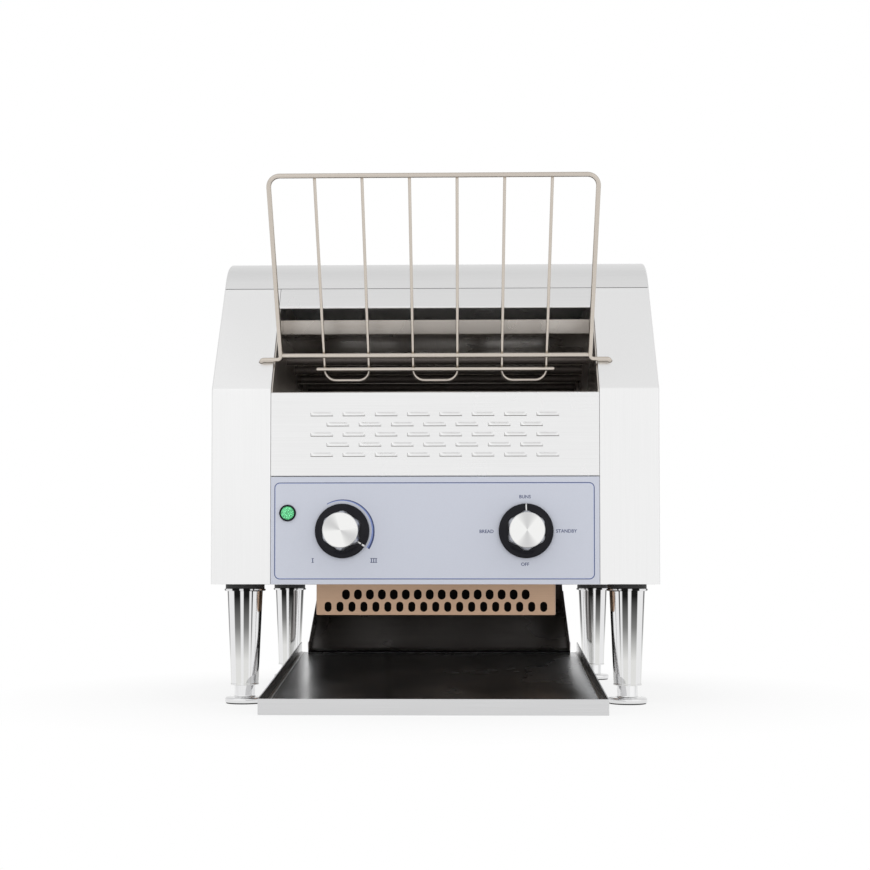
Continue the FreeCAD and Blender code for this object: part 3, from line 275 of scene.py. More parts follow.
# %% Finish maker
def finish(name, colour, rough, metallic=0.0, stretch=EVEN, tone=0.04, grain=0.05, spread=0.05,
           coat=0.0, specular=0.5):
    """A material whose colour and roughness wander a little with the grain group's masks."""
    material = bpy.data.materials.new(name)
    material.use_nodes = True
    tree = Tree(material.node_tree)
    masks = {"Vector": tree.add("TexCoord", "Object"), "Stretch": stretch, "Cloud Scale": 14.0}
    lines = tree.add("Group", "Lines", masks, node_tree=sheet_grain)
    tree.fill(tree.nodes["Principled BSDF"], {
        "Metallic": metallic, "Coat Weight": coat, "Specular IOR Level": specular,
        "Base Color": tree.ramp(lines, ((NOISE_LOW, [c * (1 - tone) for c in colour]),
                                        (NOISE_HIGH, [min(1.0, c * (1 + tone)) for c in colour]))),
        "Roughness": tree.span(lines.node.outputs["Cloud"], NOISE_LOW, NOISE_HIGH,
                               max(0.02, rough - spread), rough + spread),
        "Normal": tree.add("Bump", "Normal", {"Strength": grain, "Distance": 0.05 * MM, "Height": lines})})
    return material


# %% The finishes
CHROME = ((0.80, 0.80, 0.805), 0.06, 1.0, ALONG_Z, 0.01, 0.01, 0.02)
steel = {
    "cover": finish("pale_cover_steel", (0.885, 0.885, 0.885), 0.34, 1.0, ALONG_Z, 0.015, 0.10),
    "lid": finish("pale_lid_steel", (0.80, 0.80, 0.80), 0.32, 1.0, ALONG_X, 0.015, 0.10),
    "front": finish("louvre_panel_steel", (0.85, 0.85, 0.85), 0.30, 1.0, ALONG_X, 0.02, 0.10),
    "rear": finish("rear_panel_steel", (0.62, 0.63, 0.64), 0.36, 1.0, ALONG_X, 0.03, 0.12),
    "inner": finish("chamber_steel", (0.58, 0.54, 0.50), 0.30, 1.0, ALONG_Y, 0.06, 0.15, 0.10),
    "tray": finish("tray_steel", (0.66, 0.66, 0.665), 0.24, 1.0, ALONG_X, 0.03, 0.05, 0.05),
    # The chute's steel is darker than the other sheets: painted shade, where it lies under the body.
    "chute": finish("chute_steel", (0.34, 0.32, 0.31), 0.30, 1.0, ALONG_X, 0.06, 0.12, 0.08),
    "chrome": finish("polished_chrome", *CHROME),
    "wire": finish("bright_rack_wire", (0.60, 0.545, 0.485), 0.18, 1.0, EVEN, 0.03, 0.03),
    "belt": finish("belt_wire", (0.52, 0.49, 0.46), 0.32, 1.0, EVEN, 0.08, 0.10),
    "guard": finish("warm_guard_steel", (0.56, 0.375, 0.255), 0.40, 0.5, ALONG_X, 0.04, 0.12),
    "heater": finish("heater_sheath", (0.16, 0.14, 0.13), 0.55, 0.8, EVEN, 0.15, 0.25),
    "chain": finish("oiled_chain", (0.22, 0.21, 0.20), 0.35, 1.0, EVEN, 0.10, 0.15),
    "motor": finish("motor_paint", (0.10, 0.10, 0.11), 0.45, 0.0, EVEN, 0.10, 0.20),
    "bronze": finish("bush_bronze", (0.60, 0.40, 0.20), 0.35, 1.0, EVEN, 0.06, 0.10),
    "silver": finish("satin_knob_silver", (0.74, 0.74, 0.73), 0.30, 1.0, EVEN, 0.02, 0.08),
}
black_gloss = finish("black_knob_plastic", (0.008, 0.008, 0.012), 0.16, 0.0, EVEN, 0.10, 0.03, 0.04,
                     specular=0.16)
black_matte = finish("black_case_plastic", (0.030, 0.030, 0.032), 0.50, 0.0, EVEN, 0.15, 0.20)
# Black for painted shade, behind the guard's holes and along the chute's lip.
painted_shade_black = finish("painted_shade_black", (0.004, 0.0035, 0.003), 0.80, 0.0, EVEN, 0.20, 0.20, specular=0.04)
ceramic = finish("ceramic_caps", (0.80, 0.77, 0.71), 0.55, 0.0, EVEN, 0.04, 0.20)
# Real rubber on the cord gland; the same black is painted shade at the leg collars and under the feet.
rubber_and_painted_shade = finish("gland_rubber", (0.020, 0.020, 0.020), 0.62, 0.0, EVEN, 0.15, 0.30)
printed = finish("printed_face", (0.650, 0.678, 0.770), 0.34, 0.0, EVEN, 0.012, 0.04, 0.04, coat=0.15)
ink = finish("slate_blue_ink", (0.030, 0.050, 0.160), 0.40, 0.0, EVEN, 0.04, 0.02)
pale_ink = finish("pale_blue_ink", (0.26, 0.34, 0.68), 0.40, 0.0, EVEN, 0.03, 0.02)
white_ink = finish("white_pointer_ink", (0.85, 0.85, 0.85), 0.40, 0.0, EVEN, 0.02, 0.02)
print(len(bpy.data.materials), "finishes")

# %% [markdown]
# ## Sheet metal from the CAD
# Folded sheets already have the right shape. Real sheet has no knife edges, though: a thin
# bevel catches the light along each fold and cut. Each such piece is a merged copy of its
# CAD mesh with a small Bevel, and it stands for the node it copies. The louvre panel, the
# shafts and the spindles keep their CAD mesh and get a finish only.

# %% Sheets with softened edges
BODY_OF = {node: body for body, nodes in frame["record"]["behaviour"]["bodies"].items() for node in nodes}
EDGE_ANGLE = 30.0


def softened(node, material, width):
    """A merged copy of a CAD node with a narrow bevel on its sharp edges."""
    mesh = frame["nodes"][node].data.copy()
    mesh.materials.clear()
    work = bmesh.new()
    work.from_mesh(mesh)
    bmesh.ops.remove_doubles(work, verts=work.verts, dist=0.000002)
    bmesh.ops.dissolve_limit(work, angle_limit=math.radians(0.5), verts=work.verts, edges=work.edges)
    work.to_mesh(mesh)
    work.free()
    obj = into_scene(node + "_sheet", mesh)
    smoothed(mesh, EDGE_ANGLE)
    bevel = obj.modifiers.new("edge", "BEVEL")
    bevel.width = width * MM
    bevel.segments = 2
    bevel.limit_method = "ANGLE"
    bevel.angle_limit = math.radians(EDGE_ANGLE)
    bevel.harden_normals = True
    mesh.materials.append(material)
    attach(obj, BODY_OF[node])
    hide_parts(node)


SHEETS = {
    "left_side_cover": "cover", "right_side_cover": "cover", "top_cover": "lid", "entry_header": "lid",
    "control_panel": "rear", "rear_panel": "rear", "base_plate": "rear",
    "left_side_plate": "inner", "right_side_plate": "inner", "upper_reflector": "inner",
    "crumb_sheet": "inner", "heat_shield": "rear", "belt_rails": "inner", "collecting_tray": "tray",
    "exit_chute": "chute", "motor_bracket": "rear", "drive_sprockets": "belt", "idler_sprockets": "belt",
    "leg_nuts": "chrome", "gear_motor": "motor", "shaft_bushes": "bronze",
    "drive_chain_wheel": "chain", "motor_chain_wheel": "chain", "drive_chain": "chain",
}
for node, kind in SHEETS.items():
    softened(node, steel[kind], 0.15 if kind in ("belt", "chain", "inner") else 0.25)
softened("heater_caps", ceramic, 0.3)
CASES = ("terminal_block", "fan_housing", "fan_rotor", "speed_controller", "mode_switch")
for node in CASES:
    softened(node, black_matte, 0.3)
for node, kind in (("louvre_panel", "front"), ("drive_shaft", "belt"), ("idler_shaft", "belt"),
                   ("motor_shaft", "belt"), ("speed_spindle", "belt"), ("mode_spindle", "belt")):
    frame["nodes"][node].data.materials.clear()
    frame["nodes"][node].data.materials.append(steel[kind])
print(len(SHEETS) + 1 + len(CASES), "sheets and cases softened")

# %% [markdown]
# ## The tray's folds
# Sheet can't fold to a sharp corner: inside each side wall of the tray runs a small round
# fold, which shows as a bright line. It is a closed strip whose section is a quarter arc
# and the corner behind it, carried up the sloping floor.

# %% Tray folds
TRAY_HALF, TRAY_SHEET, FOLD, TRAY_RISE, TRAY_FRONT = 133.2, 1.0, 1.8, 0.12, -72
FOLD_ENDS = (-70.5, 206.5)
turn = np.linspace(-math.pi / 2, 0, 9)
for side, label in ((-1, "left"), (1, "right")):
    section_x = np.append(TRAY_HALF - FOLD + FOLD * np.cos(turn), TRAY_HALF + 0.3)
    section_z = np.append(FOLD + FOLD * np.sin(turn) + 0.02, -0.3)
    grid = np.zeros((2, len(section_x), 3))
    for row, y in enumerate(FOLD_ENDS):
        grid[row, :, 0] = side * section_x
        grid[row, :, 1] = y + FRONT / MM
        grid[row, :, 2] = section_z + TRAY_SHEET + TRAY_RISE * (y - TRAY_FRONT)
    mesh = grid_mesh(label + "_tray_fold", grid * MM, close_v=True, caps=True)
    placed(label + "_tray_fold", mesh, steel["lid"], "tray", (), 30.0)
print("tray folds placed")

# %% [markdown]
# ## Louvres
# The press lifts each louvre into a small hood that is closed above and at its ends and
# open below. The CAD panel has plain wedges; these hoods lie over them with a round top.
# A hood is a function of the place along it and the place down it: the reach grows down
# the hood and dies away at both ends. Below its lip and at one end a flat dark strip is
# painted shade, where the opening and the end wall lie in shade.

# %% Pressed louvres
LOUVRE_LONG, LOUVRE_HIGH, LOUVRE_REACH = 18.2, 3.0, 1.42
LOUVRE_ROWS, LONG_ROW, LOUVRE_PITCH, ROW_PITCH, TOP_ROW = 5, 8, 26.5, 8.33, 241.43
SHADE_HIGH, HOOD_Y, SHADE_Y = 0.42, FRONT / MM - 0.02, FRONT / MM - 0.04


def louvre_hood(x, z):
    """Reach forward = full reach x sin(90 degrees x down / height) x (1 - along^8).

    The place along the hood goes from -1 to 1.
    """
    along, down = np.meshgrid(np.linspace(-1, 1, 21), np.linspace(0, 1, 6), indexing="ij")
    grid = np.empty(along.shape + (3,))
    grid[..., 0] = x + along * LOUVRE_LONG / 2
    grid[..., 1] = HOOD_Y - LOUVRE_REACH * np.sin(down * math.pi / 2) * (1 - along ** 8)
    grid[..., 2] = z - down * LOUVRE_HIGH
    under = grid[:, -1:].copy()
    under[..., 1] = HOOD_Y
    return grid_mesh("hood", np.concatenate([grid, under], 1) * MM)


hoods, shade_strips = [], []
for row in range(LOUVRE_ROWS):
    count = LONG_ROW - row % 2
    for k in range(count):
        x, z = (k - (count - 1) / 2) * LOUVRE_PITCH, TOP_ROW - row * ROW_PITCH
        end, low = x - LOUVRE_LONG / 2, z - LOUVRE_HIGH
        hoods.append(louvre_hood(x, z))
        # Dark strips under the lip and at the hood's left end: painted shade.
        shade_strips.append(flat_box(end, x + LOUVRE_LONG / 2, low - SHADE_HIGH, low, SHADE_Y))
        shade_strips.append(flat_box(end - 0.25, end + 0.1, low - SHADE_HIGH, z - 0.4, SHADE_Y))
print(len(hoods), "louvres pressed")
placed("louvre_hoods", hoods, steel["front"], "body", (), 30.0)
facing(placed("louvre_shade_strips", shade_strips, steel["chain"], "body", (), 30.0).data, -1)

# %% [markdown]
# ## The printed control face
# The face is a thin printed film on the sheet. Its lines, scale and words are flat shapes
# a twentieth of a millimetre in front of it, so they stay crisp at any distance.

# %% Printed face and its frame line
softened("control_overlay", printed, 0.1)
PRINT_Y = FRONT - 0.05 * MM


def flat_ribbon(name, inner, outer, material, closed=True):
    """A flat band between two outlines of (x, z) points in millimetres, on the face."""
    grid = np.zeros((len(inner), 2, 3))
    grid[:, 0, [0, 2]] = np.array(inner) * MM
    grid[:, 1, [0, 2]] = np.array(outer) * MM
    grid[:, :, 1] = PRINT_Y
    facing(placed(name, grid_mesh(name, grid, close_u=closed), material, "body").data, -1)


def round_box(x0, x1, z0, z1, radius, steps=10):
    """Points round a box whose corners are quarter circles of the radius."""
    turns = np.linspace(0, math.pi / 2, steps)
    points = []
    for x, z, start in ((x1 - radius, z1 - radius, 0), (x0 + radius, z1 - radius, 1),
                        (x0 + radius, z0 + radius, 2), (x1 - radius, z0 + radius, 3)):
        angle = turns + start * math.pi / 2
        points += list(zip(x + radius * np.cos(angle), z + radius * np.sin(angle)))
    return points


flat_ribbon("face_frame_line", round_box(-131.15, 130.15, 104.55, 182.95, 3.95),
            round_box(-131.7, 130.7, 104.0, 183.5, 4.5), ink)
flat_ribbon("face_frame_glow", round_box(-130.9, 129.9, 104.8, 182.7, 3.7),
            round_box(-131.15, 130.15, 104.55, 182.95, 3.95), pale_ink)
print("face frame drawn")

# %% [markdown]
# The speed scale is a band that widens as it goes round, and its ends carry Roman marks. The
# words are made by Blender's text and kept as meshes.

# %% The speed scale and the words
KNOB_Z = 143.6
SPEED_X, MODE_X = -75.8, 74.6


def arc_points(centre_x, radius, start, end, count=60):
    """Points round a knob, in degrees clockwise from the top, as the radius goes from one to another."""
    angle = np.radians(np.linspace(start, end, count))
    reach = np.linspace(*radius, count)
    return list(zip(centre_x + reach * np.sin(angle), KNOB_Z + reach * np.cos(angle)))


flat_ribbon("speed_scale", arc_points(SPEED_X, (25.5, 25.2), -30, 124),
            arc_points(SPEED_X, (25.8, 26.7), -30, 124), ink, closed=False)
flat_ribbon("speed_scale_glow", arc_points(SPEED_X, (25.1, 23.9), -30, 124),
            arc_points(SPEED_X, (25.5, 25.2), -30, 124), pale_ink, closed=False)


def curve_mesh(name, curve):
    """The filled shape of a text or a curve, as a mesh; its own object goes again."""
    holder = into_scene(name, curve)
    bpy.context.view_layer.update()
    mesh = bpy.data.meshes.new_from_object(holder)
    bpy.data.objects.remove(holder)
    return mesh


UPRIGHT = Matrix.Rotation(math.pi / 2, 4, "X")


def word(name, text, x, z, size):
    """A word made of flat letters, centred on a place of the face."""
    curve = bpy.data.curves.new(name, "FONT")
    curve.body = text
    curve.size = size * MM
    curve.offset = 0.012 * size * MM
    curve.align_x = "CENTER"
    curve.align_y = "CENTER"
    curve.resolution_u = 3
    mesh = curve_mesh(name + "_text", curve)
    mesh.transform(Matrix.Translation((x * MM, PRINT_Y, z * MM)) @ UPRIGHT)
    mesh.materials.clear()
    mesh.materials.append(ink)
    piece = into_scene(name, mesh)
    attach(piece, "body")


def dial_mark(name, x, z, strokes):
    """Roman strokes: each is an upright bar, with a thin serif bar at its head and foot."""
    bars, height, pitch = [], 3.7, 1.9
    for k in range(strokes):
        middle = x + (k - (strokes - 1) / 2) * pitch
        for wide, low, high in ((0.34, -height / 2, height / 2), (0.95, height / 2 - 0.4, height / 2),
                                (0.95, -height / 2, 0.4 - height / 2)):
            bars.append(flat_box(middle - wide, middle + wide, z + low, z + high, PRINT_Y / MM))
    facing(placed(name, bars, ink, "body").data, -1)


dial_mark("mark_slow", SPEED_X - 24.3, KNOB_Z - 24.1, 1)
dial_mark("mark_fast", SPEED_X + 25.8, KNOB_Z - 24.1, 3)
for name, text, x, z in (("word_top", "BUNS", MODE_X - 0.8, KNOB_Z + 27.9),
                         ("word_left", "BREAD", MODE_X - 32.3, KNOB_Z - 0.5),
                         ("word_right", "STANDBY", MODE_X + 33.0, KNOB_Z - 0.2),
                         ("word_below", "OFF", MODE_X - 0.8, KNOB_Z - 27.4)):
    word(name, text, x, z, 3.85)
print("scale and words drawn")

# %% [markdown]
# ## Round pieces
# Legs, feet, knobs, lamp, screws and gland are turned: one profile of (radius, height) points, carried
# round an axis. The grid has one row per angle and one column per profile point.


# %% Spun pieces
def spun_mesh(name, profile, centre, axis, sides=72):
    """A profile carried round an axis: each point keeps its radius and height."""
    profile = np.array(profile, float) * MM
    axis = np.array(axis, float)
    across = np.array((1.0, 0, 0)) if abs(axis[0]) < 0.5 else np.array((0, 1.0, 0))
    third = np.cross(axis, across)
    angle = np.linspace(0, 2 * math.pi, sides, endpoint=False)[:, None, None]
    ring = np.cos(angle) * across + np.sin(angle) * third
    grid = np.array(centre) * MM + ring * profile[None, :, :1] + profile[None, :, 1:] * axis
    return grid_mesh(name, grid, close_u=True)


def rounded(points, radius=0.4, steps=4):
    """A profile with each inner corner cut into a small arc by blending along its two runs."""
    points = [np.array(p, float) for p in points]
    out = [points[0]]
    for before, corner, after in zip(points, points[1:], points[2:]):
        run_in, run_out = before - corner, after - corner
        reach = min(radius, 0.45 * np.linalg.norm(run_in), 0.45 * np.linalg.norm(run_out))
        a = corner + run_in / max(np.linalg.norm(run_in), 1e-9) * reach
        b = corner + run_out / max(np.linalg.norm(run_out), 1e-9) * reach
        for t in np.linspace(0, 1, steps):
            out.append((1 - t) ** 2 * a + 2 * t * (1 - t) * corner + t ** 2 * b)
    out.append(points[-1])
    return out


def turned_piece(name, profile, centre, axis, body, material, replaces=(), sides=72):
    """A turned piece, placed on its body."""
    return placed(name, spun_mesh(name, profile, centre, axis, sides), material, body, replaces, 40.0)


UP, BACK = (0, 0, 1), (0, 1, 0)
print("spun pieces ready")

# %% [markdown]
# ## Legs and feet
# Polished chrome shows dark upright streaks where it mirrors the dark parts of a room. A
# white studio has none, so the streaks are painted reflections: a mask by the turn about each
# leg's own axis, and they fade towards the foot, where the leg mirrors the floor.


# %% Chrome with painted reflections
# Turn about the leg's own axis, in degrees from its front, and how bright the painted reflection leaves the
# chrome there.
REFLECTION_STREAKS = ((-90, 0), (-60, 0), (-57, 1), (-31, 1), (-28, 0), (-8, 0), (-5, 1), (3, 1), (5, 0), (22, 0),
           (25, 1), (30, 1), (31.5, 0), (34.5, 0), (36, 1), (61, 1), (64, 0), (90, 0))
REFLECTION_FADE = ((0.28, 0.72), (0.56, 0.19), (0.82, 0.010))
FADE_LOW, FADE_HIGH = 8.0, 108.0


def chrome_with_painted_reflections():
    """Chrome with painted reflections: upright dark streaks by the turn about the leg, fading out towards the
    foot.
    """
    material = finish("chrome_with_painted_reflections", *CHROME)
    tree = Tree(material.node_tree)
    base = tree.nodes["Principled BSDF"].inputs["Base Color"]
    turn = tree.add("Attribute", "Fac", attribute_name="turn")
    reflection_streak = tree.ramp(turn, [((angle + 90) / 180, (level,) * 3) for angle, level in REFLECTION_STREAKS])
    height = tree.add("SeparateXYZ", "Z", {0: tree.add("TexCoord", "Object")})
    fade = tree.ramp(tree.span(height, FADE_LOW * MM, FADE_HIGH * MM),
                     [(place, (level, level, level * 0.98)) for place, level in REFLECTION_FADE])
    # Sockets 0, 6 and 7 of a colour Mix are its factor and its two colours; output 2 is the result.
    colours = {0: reflection_streak, 6: fade, 7: base.links[0].from_socket}
    tree.links.new(tree.add("Mix", 2, colours, data_type="RGBA"), base)
    return material


def mark_turn(mesh, centre, side):
    """Store the turn as (angle + 90) / 180, angle = atan2(side * dx, |dy|) about the axis."""
    spots = np.empty(len(mesh.vertices) * 3)
    mesh.vertices.foreach_get("co", spots)
    dx, dy = (spots.reshape(-1, 3)[:, :2] - np.array(centre)[:2] * MM).T
    turn = mesh.attributes.new("turn", "FLOAT", "POINT")
    turn.data.foreach_set("value", np.degrees(np.arctan2(side * dx, np.abs(dy))) / 180 + 0.5)


leg_chrome = chrome_with_painted_reflections()
print("streaks:", len(REFLECTION_STREAKS), "stops")

# %% Legs, feet, and painted shade rings at the collars and under the feet
LEG_X, LEG_Y = 161.0, {"front": 34.5, "rear": 331.7}
LEGS = [(end, side, sign, place_mm(sign * LEG_X, LEG_Y[end], 0))
        for end in ("front", "rear") for side, sign in (("left", -1), ("right", 1))]
leg_profile = rounded([(0, 96.4), (17.0, 96.4), (17.25, 95.9), (17.25, 95.0), (16.6, 94.5), (14.9, 94.3),
                       (14.8, 93.9), (14.6, 90.0), (11.5, 17.0), (11.9, 16.6), (11.9, 15.5), (8.9, 15.5),
                       (8.9, 56.0), (0, 56.0)], 0.35)
foot_profile = rounded([(0, 1.0), (16.1, 1.0), (16.5, 1.8), (16.5, 4.2), (15.4, 5.4), (9.4, 5.6), (8.6, 6.4),
                        (8.6, 55.0), (0, 55.0)], 0.5)
# Black rings at the top of each leg and under each foot are painted shade: the collar's shade and the foot's
# contact shadow.
collar_shade_ring = rounded([(9.0, 100.0), (16.3, 100.0), (16.3, 96.3), (9.0, 96.3)], 0.4)
contact_shade_ring = rounded([(0, 0), (15.4, 0), (15.8, 1.02), (0, 1.02)], 0.3)
for end, side, sign, spot in LEGS:
    leg = turned_piece(f"{end}_{side}_leg_turned", leg_profile, spot, UP, "body", leg_chrome,
                       (f"{end}_{side}_leg",), sides=144)
    mark_turn(leg.data, spot, -sign)
    turned_piece(f"{end}_{side}_foot_turned", foot_profile, spot, UP, f"foot_{end}_{side}", steel["chrome"],
                 (f"{end}_{side}_foot",))
for end, side, sign, spot in LEGS:
    turned_piece(f"{end}_{side}_leg_collar_shade", collar_shade_ring, spot, UP, "body", rubber_and_painted_shade, ())
    turned_piece(f"{end}_{side}_foot_contact_shade", contact_shade_ring, spot, UP, f"foot_{end}_{side}", rubber_and_painted_shade, ())
print(len(LEGS), "legs and feet turned")

# %% [markdown]
# ## Knobs
# Each knob is a gloss black dished skirt and a satin silver grip with six broad lobes. The
# grip's radius wanders with the cosine of six times the angle, and the wander fades to
# nothing at the round front face, which is brushed in circles. Its light and dark wedges
# are a painted sheen.


# %% Knob face finish
def face_with_painted_sheen():
    """Silver with a painted sheen: light and dark wedges, as a face brushed in circles shows.

    The wedge value is the cosine of twice the angle about the knob's own axis, from UV.
    """
    material = finish("silver_with_painted_sheen_wedges", (0.80, 0.80, 0.79), 0.28, 1.0, EVEN, 0.02, 0.06)
    tree = Tree(material.node_tree)
    turn = tree.add("SeparateXYZ", "X", {0: tree.add("UVMap", "UV", uv_map="face")})
    wave = tree.math("COSINE", tree.math("MULTIPLY", turn, 4 * math.pi))
    colour = tree.ramp(tree.span(wave, -1.0, 1.0), ((0.55, (0.90, 0.90, 0.89)), (1.0, (0.64, 0.64, 0.64))))
    tree.fill(tree.nodes["Principled BSDF"], {"Base Color": colour})
    return material


face_silver = face_with_painted_sheen()
print("finish:", face_silver.name)

# %% Knob pieces
# Places along the knob's axis, forward negative, with the grip's radius and lobe depth there.
GRIP_ALONG = np.array([-6.6, -6.9, -9.0, -12.0, -15.0, -17.2, -18.4, -19.0])
GRIP_RADIUS = np.array([16.1, 16.4, 16.4, 16.2, 15.8, 15.2, 14.75, 14.5])
LOBE_DEPTH = np.array([2.2, 2.3, 2.3, 2.2, 1.9, 1.2, 0.4, 0.0])
GRIP_RIM = np.array([[14.5, -20.3], [14.2, -20.9], [13.7, -21.15]])
LOBES, GRIP_SIDES = 6, 144
SKIRT = rounded([(3.05, -0.6), (22.1, -0.6), (22.4, -1.1), (22.4, -2.8), (21.7, -3.6), (19.0, -4.6),
                 (16.4, -6.6), (3.05, -6.6)], 0.5)
FACE_RADIUS, FACE_Y, FACE_RINGS, FACE_TURNS = 13.75, -21.17, 12, 97
# Start, end and half width of each white bar, counted out from the axis.
BARS = {"speed": ((16.6, 18.8, 0.55), (19.9, 22.3, 0.7)), "mode": ((16.6, 22.3, 0.5),)}


def knob_grip(label, centre, pointer, body):
    """Radius = the table's - lobe depth x (0.5 - 0.5 cos(6 x angle from the pointer))."""
    angle = np.linspace(0, 2 * math.pi, GRIP_SIDES, endpoint=False)[:, None]
    lobe = 0.5 - 0.5 * np.cos(LOBES * (angle - math.radians(pointer)))
    rim = np.repeat(GRIP_RIM[None], GRIP_SIDES, 0)
    radius = np.hstack([GRIP_RADIUS - LOBE_DEPTH * lobe, rim[..., 0]])
    along = np.hstack([np.repeat(GRIP_ALONG[None], GRIP_SIDES, 0), rim[..., 1]])
    grid = np.stack([radius * np.sin(angle), along, radius * np.cos(angle)], -1)
    mesh = grid_mesh(label + "_grip", (grid + centre) * MM, close_u=True)
    placed(label + "_grip", mesh, steel["silver"], body, (label + "_knob_grip",), 40.0)


def knob_face(label, centre, pointer, body):
    """A flat disc whose UV is the turn from the pointer and the share of the radius."""
    radius = np.linspace(0.001, FACE_RADIUS, FACE_RINGS)
    turn = np.linspace(0, 2 * math.pi, FACE_TURNS)[:, None]
    disc = np.stack([radius * np.sin(turn), np.full((FACE_TURNS, FACE_RINGS), FACE_Y),
                     radius * np.cos(turn)], -1)
    mesh = grid_mesh(label + "_face", (disc + centre) * MM)
    layer = mesh.uv_layers.new(name="face")
    spots = np.array([loop.vertex_index for loop in mesh.loops])
    uv = np.stack([spots // FACE_RINGS / (FACE_TURNS - 1) - math.radians(pointer) / (2 * math.pi),
                   spots % FACE_RINGS / (FACE_RINGS - 1)], -1)
    layer.data.foreach_set("uv", uv.astype(np.float32).ravel())
    flat_piece(label + "_face", mesh, face_silver, body)


def knob_pointer(label, centre, pointer, body):
    """White bars that lie on the skirt's slope along the pointer's way."""
    turn = math.radians(pointer)
    out = np.array((math.sin(turn), 0, math.cos(turn)))
    across = np.array((math.cos(turn), 0, -math.sin(turn)))
    marks = []
    for low, high, width in BARS[label]:
        reach = np.linspace(low, high, 6)[:, None]
        rise = np.interp(reach, [16.4, 19.0, 21.7, 22.4], [-6.6, -4.6, -3.6, -2.8]) - 0.12
        band = np.stack([centre + reach * out + s * width * across + rise * (0, 1, 0) for s in (-1, 1)], 1)
        marks.append(grid_mesh("mark", band * MM))
    flat_piece(label + "_pointer", joined(marks, label + "_pointer"), white_ink, body)


def knob(label, centre_x, pointer, body):
    """Skirt, lobed grip, face disc and white pointer of one knob."""
    centre = np.array(place_mm(centre_x, 0, KNOB_Z))
    turned_piece(label + "_skirt", SKIRT, centre, BACK, body, black_gloss, (label + "_knob_skirt",),
                 96)
    for make in (knob_grip, knob_face, knob_pointer):
        make(label, centre, pointer, body)


knob("speed", SPEED_X, 124.0, "speed_knob")
knob("mode", MODE_X, 0.0, "mode_knob")
print("knobs made")

# %% [markdown]
# ## The lamp
# A small signal lamp: a dark bezel and a green lens with a pattern of tiny prisms inside. The
# prisms' light and shade are painted: Voronoi cells colour it, bright with dark edges. It glows a little, as
# lit.

# %% Lamp
LAMP = place_mm(-120.8, 0, 158.4)
LENS_RADIUS, LENS_EDGE, LENS_RISE = 5.35, -1.2, 1.4
bezel = rounded([(5.5, 2.0), (5.5, -1.3), (6.0, -1.7), (6.5, -1.5), (6.9, -0.8), (6.9, 0), (5.6, 0),
                 (5.6, 16), (0, 16)], 0.25)
turned_piece("lamp_bezel_ring", bezel, LAMP, BACK, "body", black_gloss, ("lamp_housing",))
dome = [(0, 1.9), (LENS_RADIUS, 1.9), (LENS_RADIUS, LENS_EDGE)]
dome += [(LENS_RADIUS * math.cos(a), LENS_EDGE - LENS_RISE * math.sin(a))
         for a in np.linspace(0, math.pi / 2, 9)[1:]]


def green_lens_painted_prisms():
    """Green lit plastic with the prisms' light and shade painted: bright cells with darker edges, from the
    distance to Voronoi edges.
    """
    material = finish("green_lamp_lens_painted_prisms", (0.03, 0.62, 0.16), 0.15, 0.0, EVEN, 0.10, 0.03, coat=0.6)
    tree = Tree(material.node_tree)
    edge = tree.add("TexVoronoi", "Distance", {"Vector": tree.add("TexCoord", "Object"), "Scale": 900.0},
                    feature="DISTANCE_TO_EDGE")
    colour = tree.ramp(edge, ((0.0, (0.005, 0.14, 0.04)), (0.35, (0.22, 1.0, 0.45))))
    tree.fill(tree.nodes["Principled BSDF"], {"Base Color": colour, "Emission Color": colour,
                                              "Emission Strength": 0.45})
    return material


turned_piece("lamp_lens_dome", dome, LAMP, BACK, "body", green_lens_painted_prisms(), ("lamp_lens",))
print("lamp made")

# %% [markdown]
# ## Bent wire
# The rack and the belt are round wire bent in dies. A wire is a ring carried along a path:
# corners become arcs, then the ring's frame is carried from point to point without twist.


# %% Wire helper
def bend_path(corners, radius, steps=8):
    """A path in millimetres whose inner corners are arcs; radius is one value or a list."""
    corners = [np.array(c, float) for c in corners]
    radii = [radius] * (len(corners) - 2) if np.isscalar(radius) else radius
    path = [corners[0]]
    for before, corner, after, bend in zip(corners, corners[1:], corners[2:], radii):
        a = (before - corner) / np.linalg.norm(before - corner)
        b = (after - corner) / np.linalg.norm(after - corner)
        half = math.acos(np.clip(a @ b, -1, 1)) / 2
        middle = (a + b) / np.linalg.norm(a + b)
        centre = corner + middle * bend / math.sin(half)
        first = corner + a * bend / math.tan(half) - centre
        last = corner + b * bend / math.tan(half) - centre
        sweep = math.acos(np.clip(first @ last / bend ** 2, -1, 1))
        for t in np.linspace(0, 1, steps):
            share_first, share_last = math.sin((1 - t) * sweep), math.sin(t * sweep)
            path.append(centre + (share_first * first + share_last * last) / math.sin(sweep))
    path.append(corners[-1])
    return np.array(path)


def wire_mesh(name, path, radius, sides=12, dome=True):
    """A ring of the radius carried along the path, with domed ends."""
    ways = np.gradient(path, axis=0)
    ways /= np.linalg.norm(ways, axis=1)[:, None]
    across = np.cross(ways[0], (0.31, 0.77, 0.55))
    across /= np.linalg.norm(across)
    frames = []
    for way in ways:
        across = across - (across @ way) * way
        across /= np.linalg.norm(across)
        frames.append((across, np.cross(way, across)))
    frames = np.array(frames)
    angle = np.linspace(0, 2 * math.pi, sides, endpoint=False)[None, :, None]
    rings = path[:, None] + radius * (np.cos(angle) * frames[:, None, 0] + np.sin(angle) * frames[:, None, 1])
    if dome:
        first = path[0] + (rings[:1] - path[0]) * 0.6 - ways[0] * radius * 0.5
        last = path[-1] + (rings[-1:] - path[-1]) * 0.6 + ways[-1] * radius * 0.5
        rings = np.vstack([first, rings, last])
    return grid_mesh(name, rings * MM, close_v=True, caps=True)


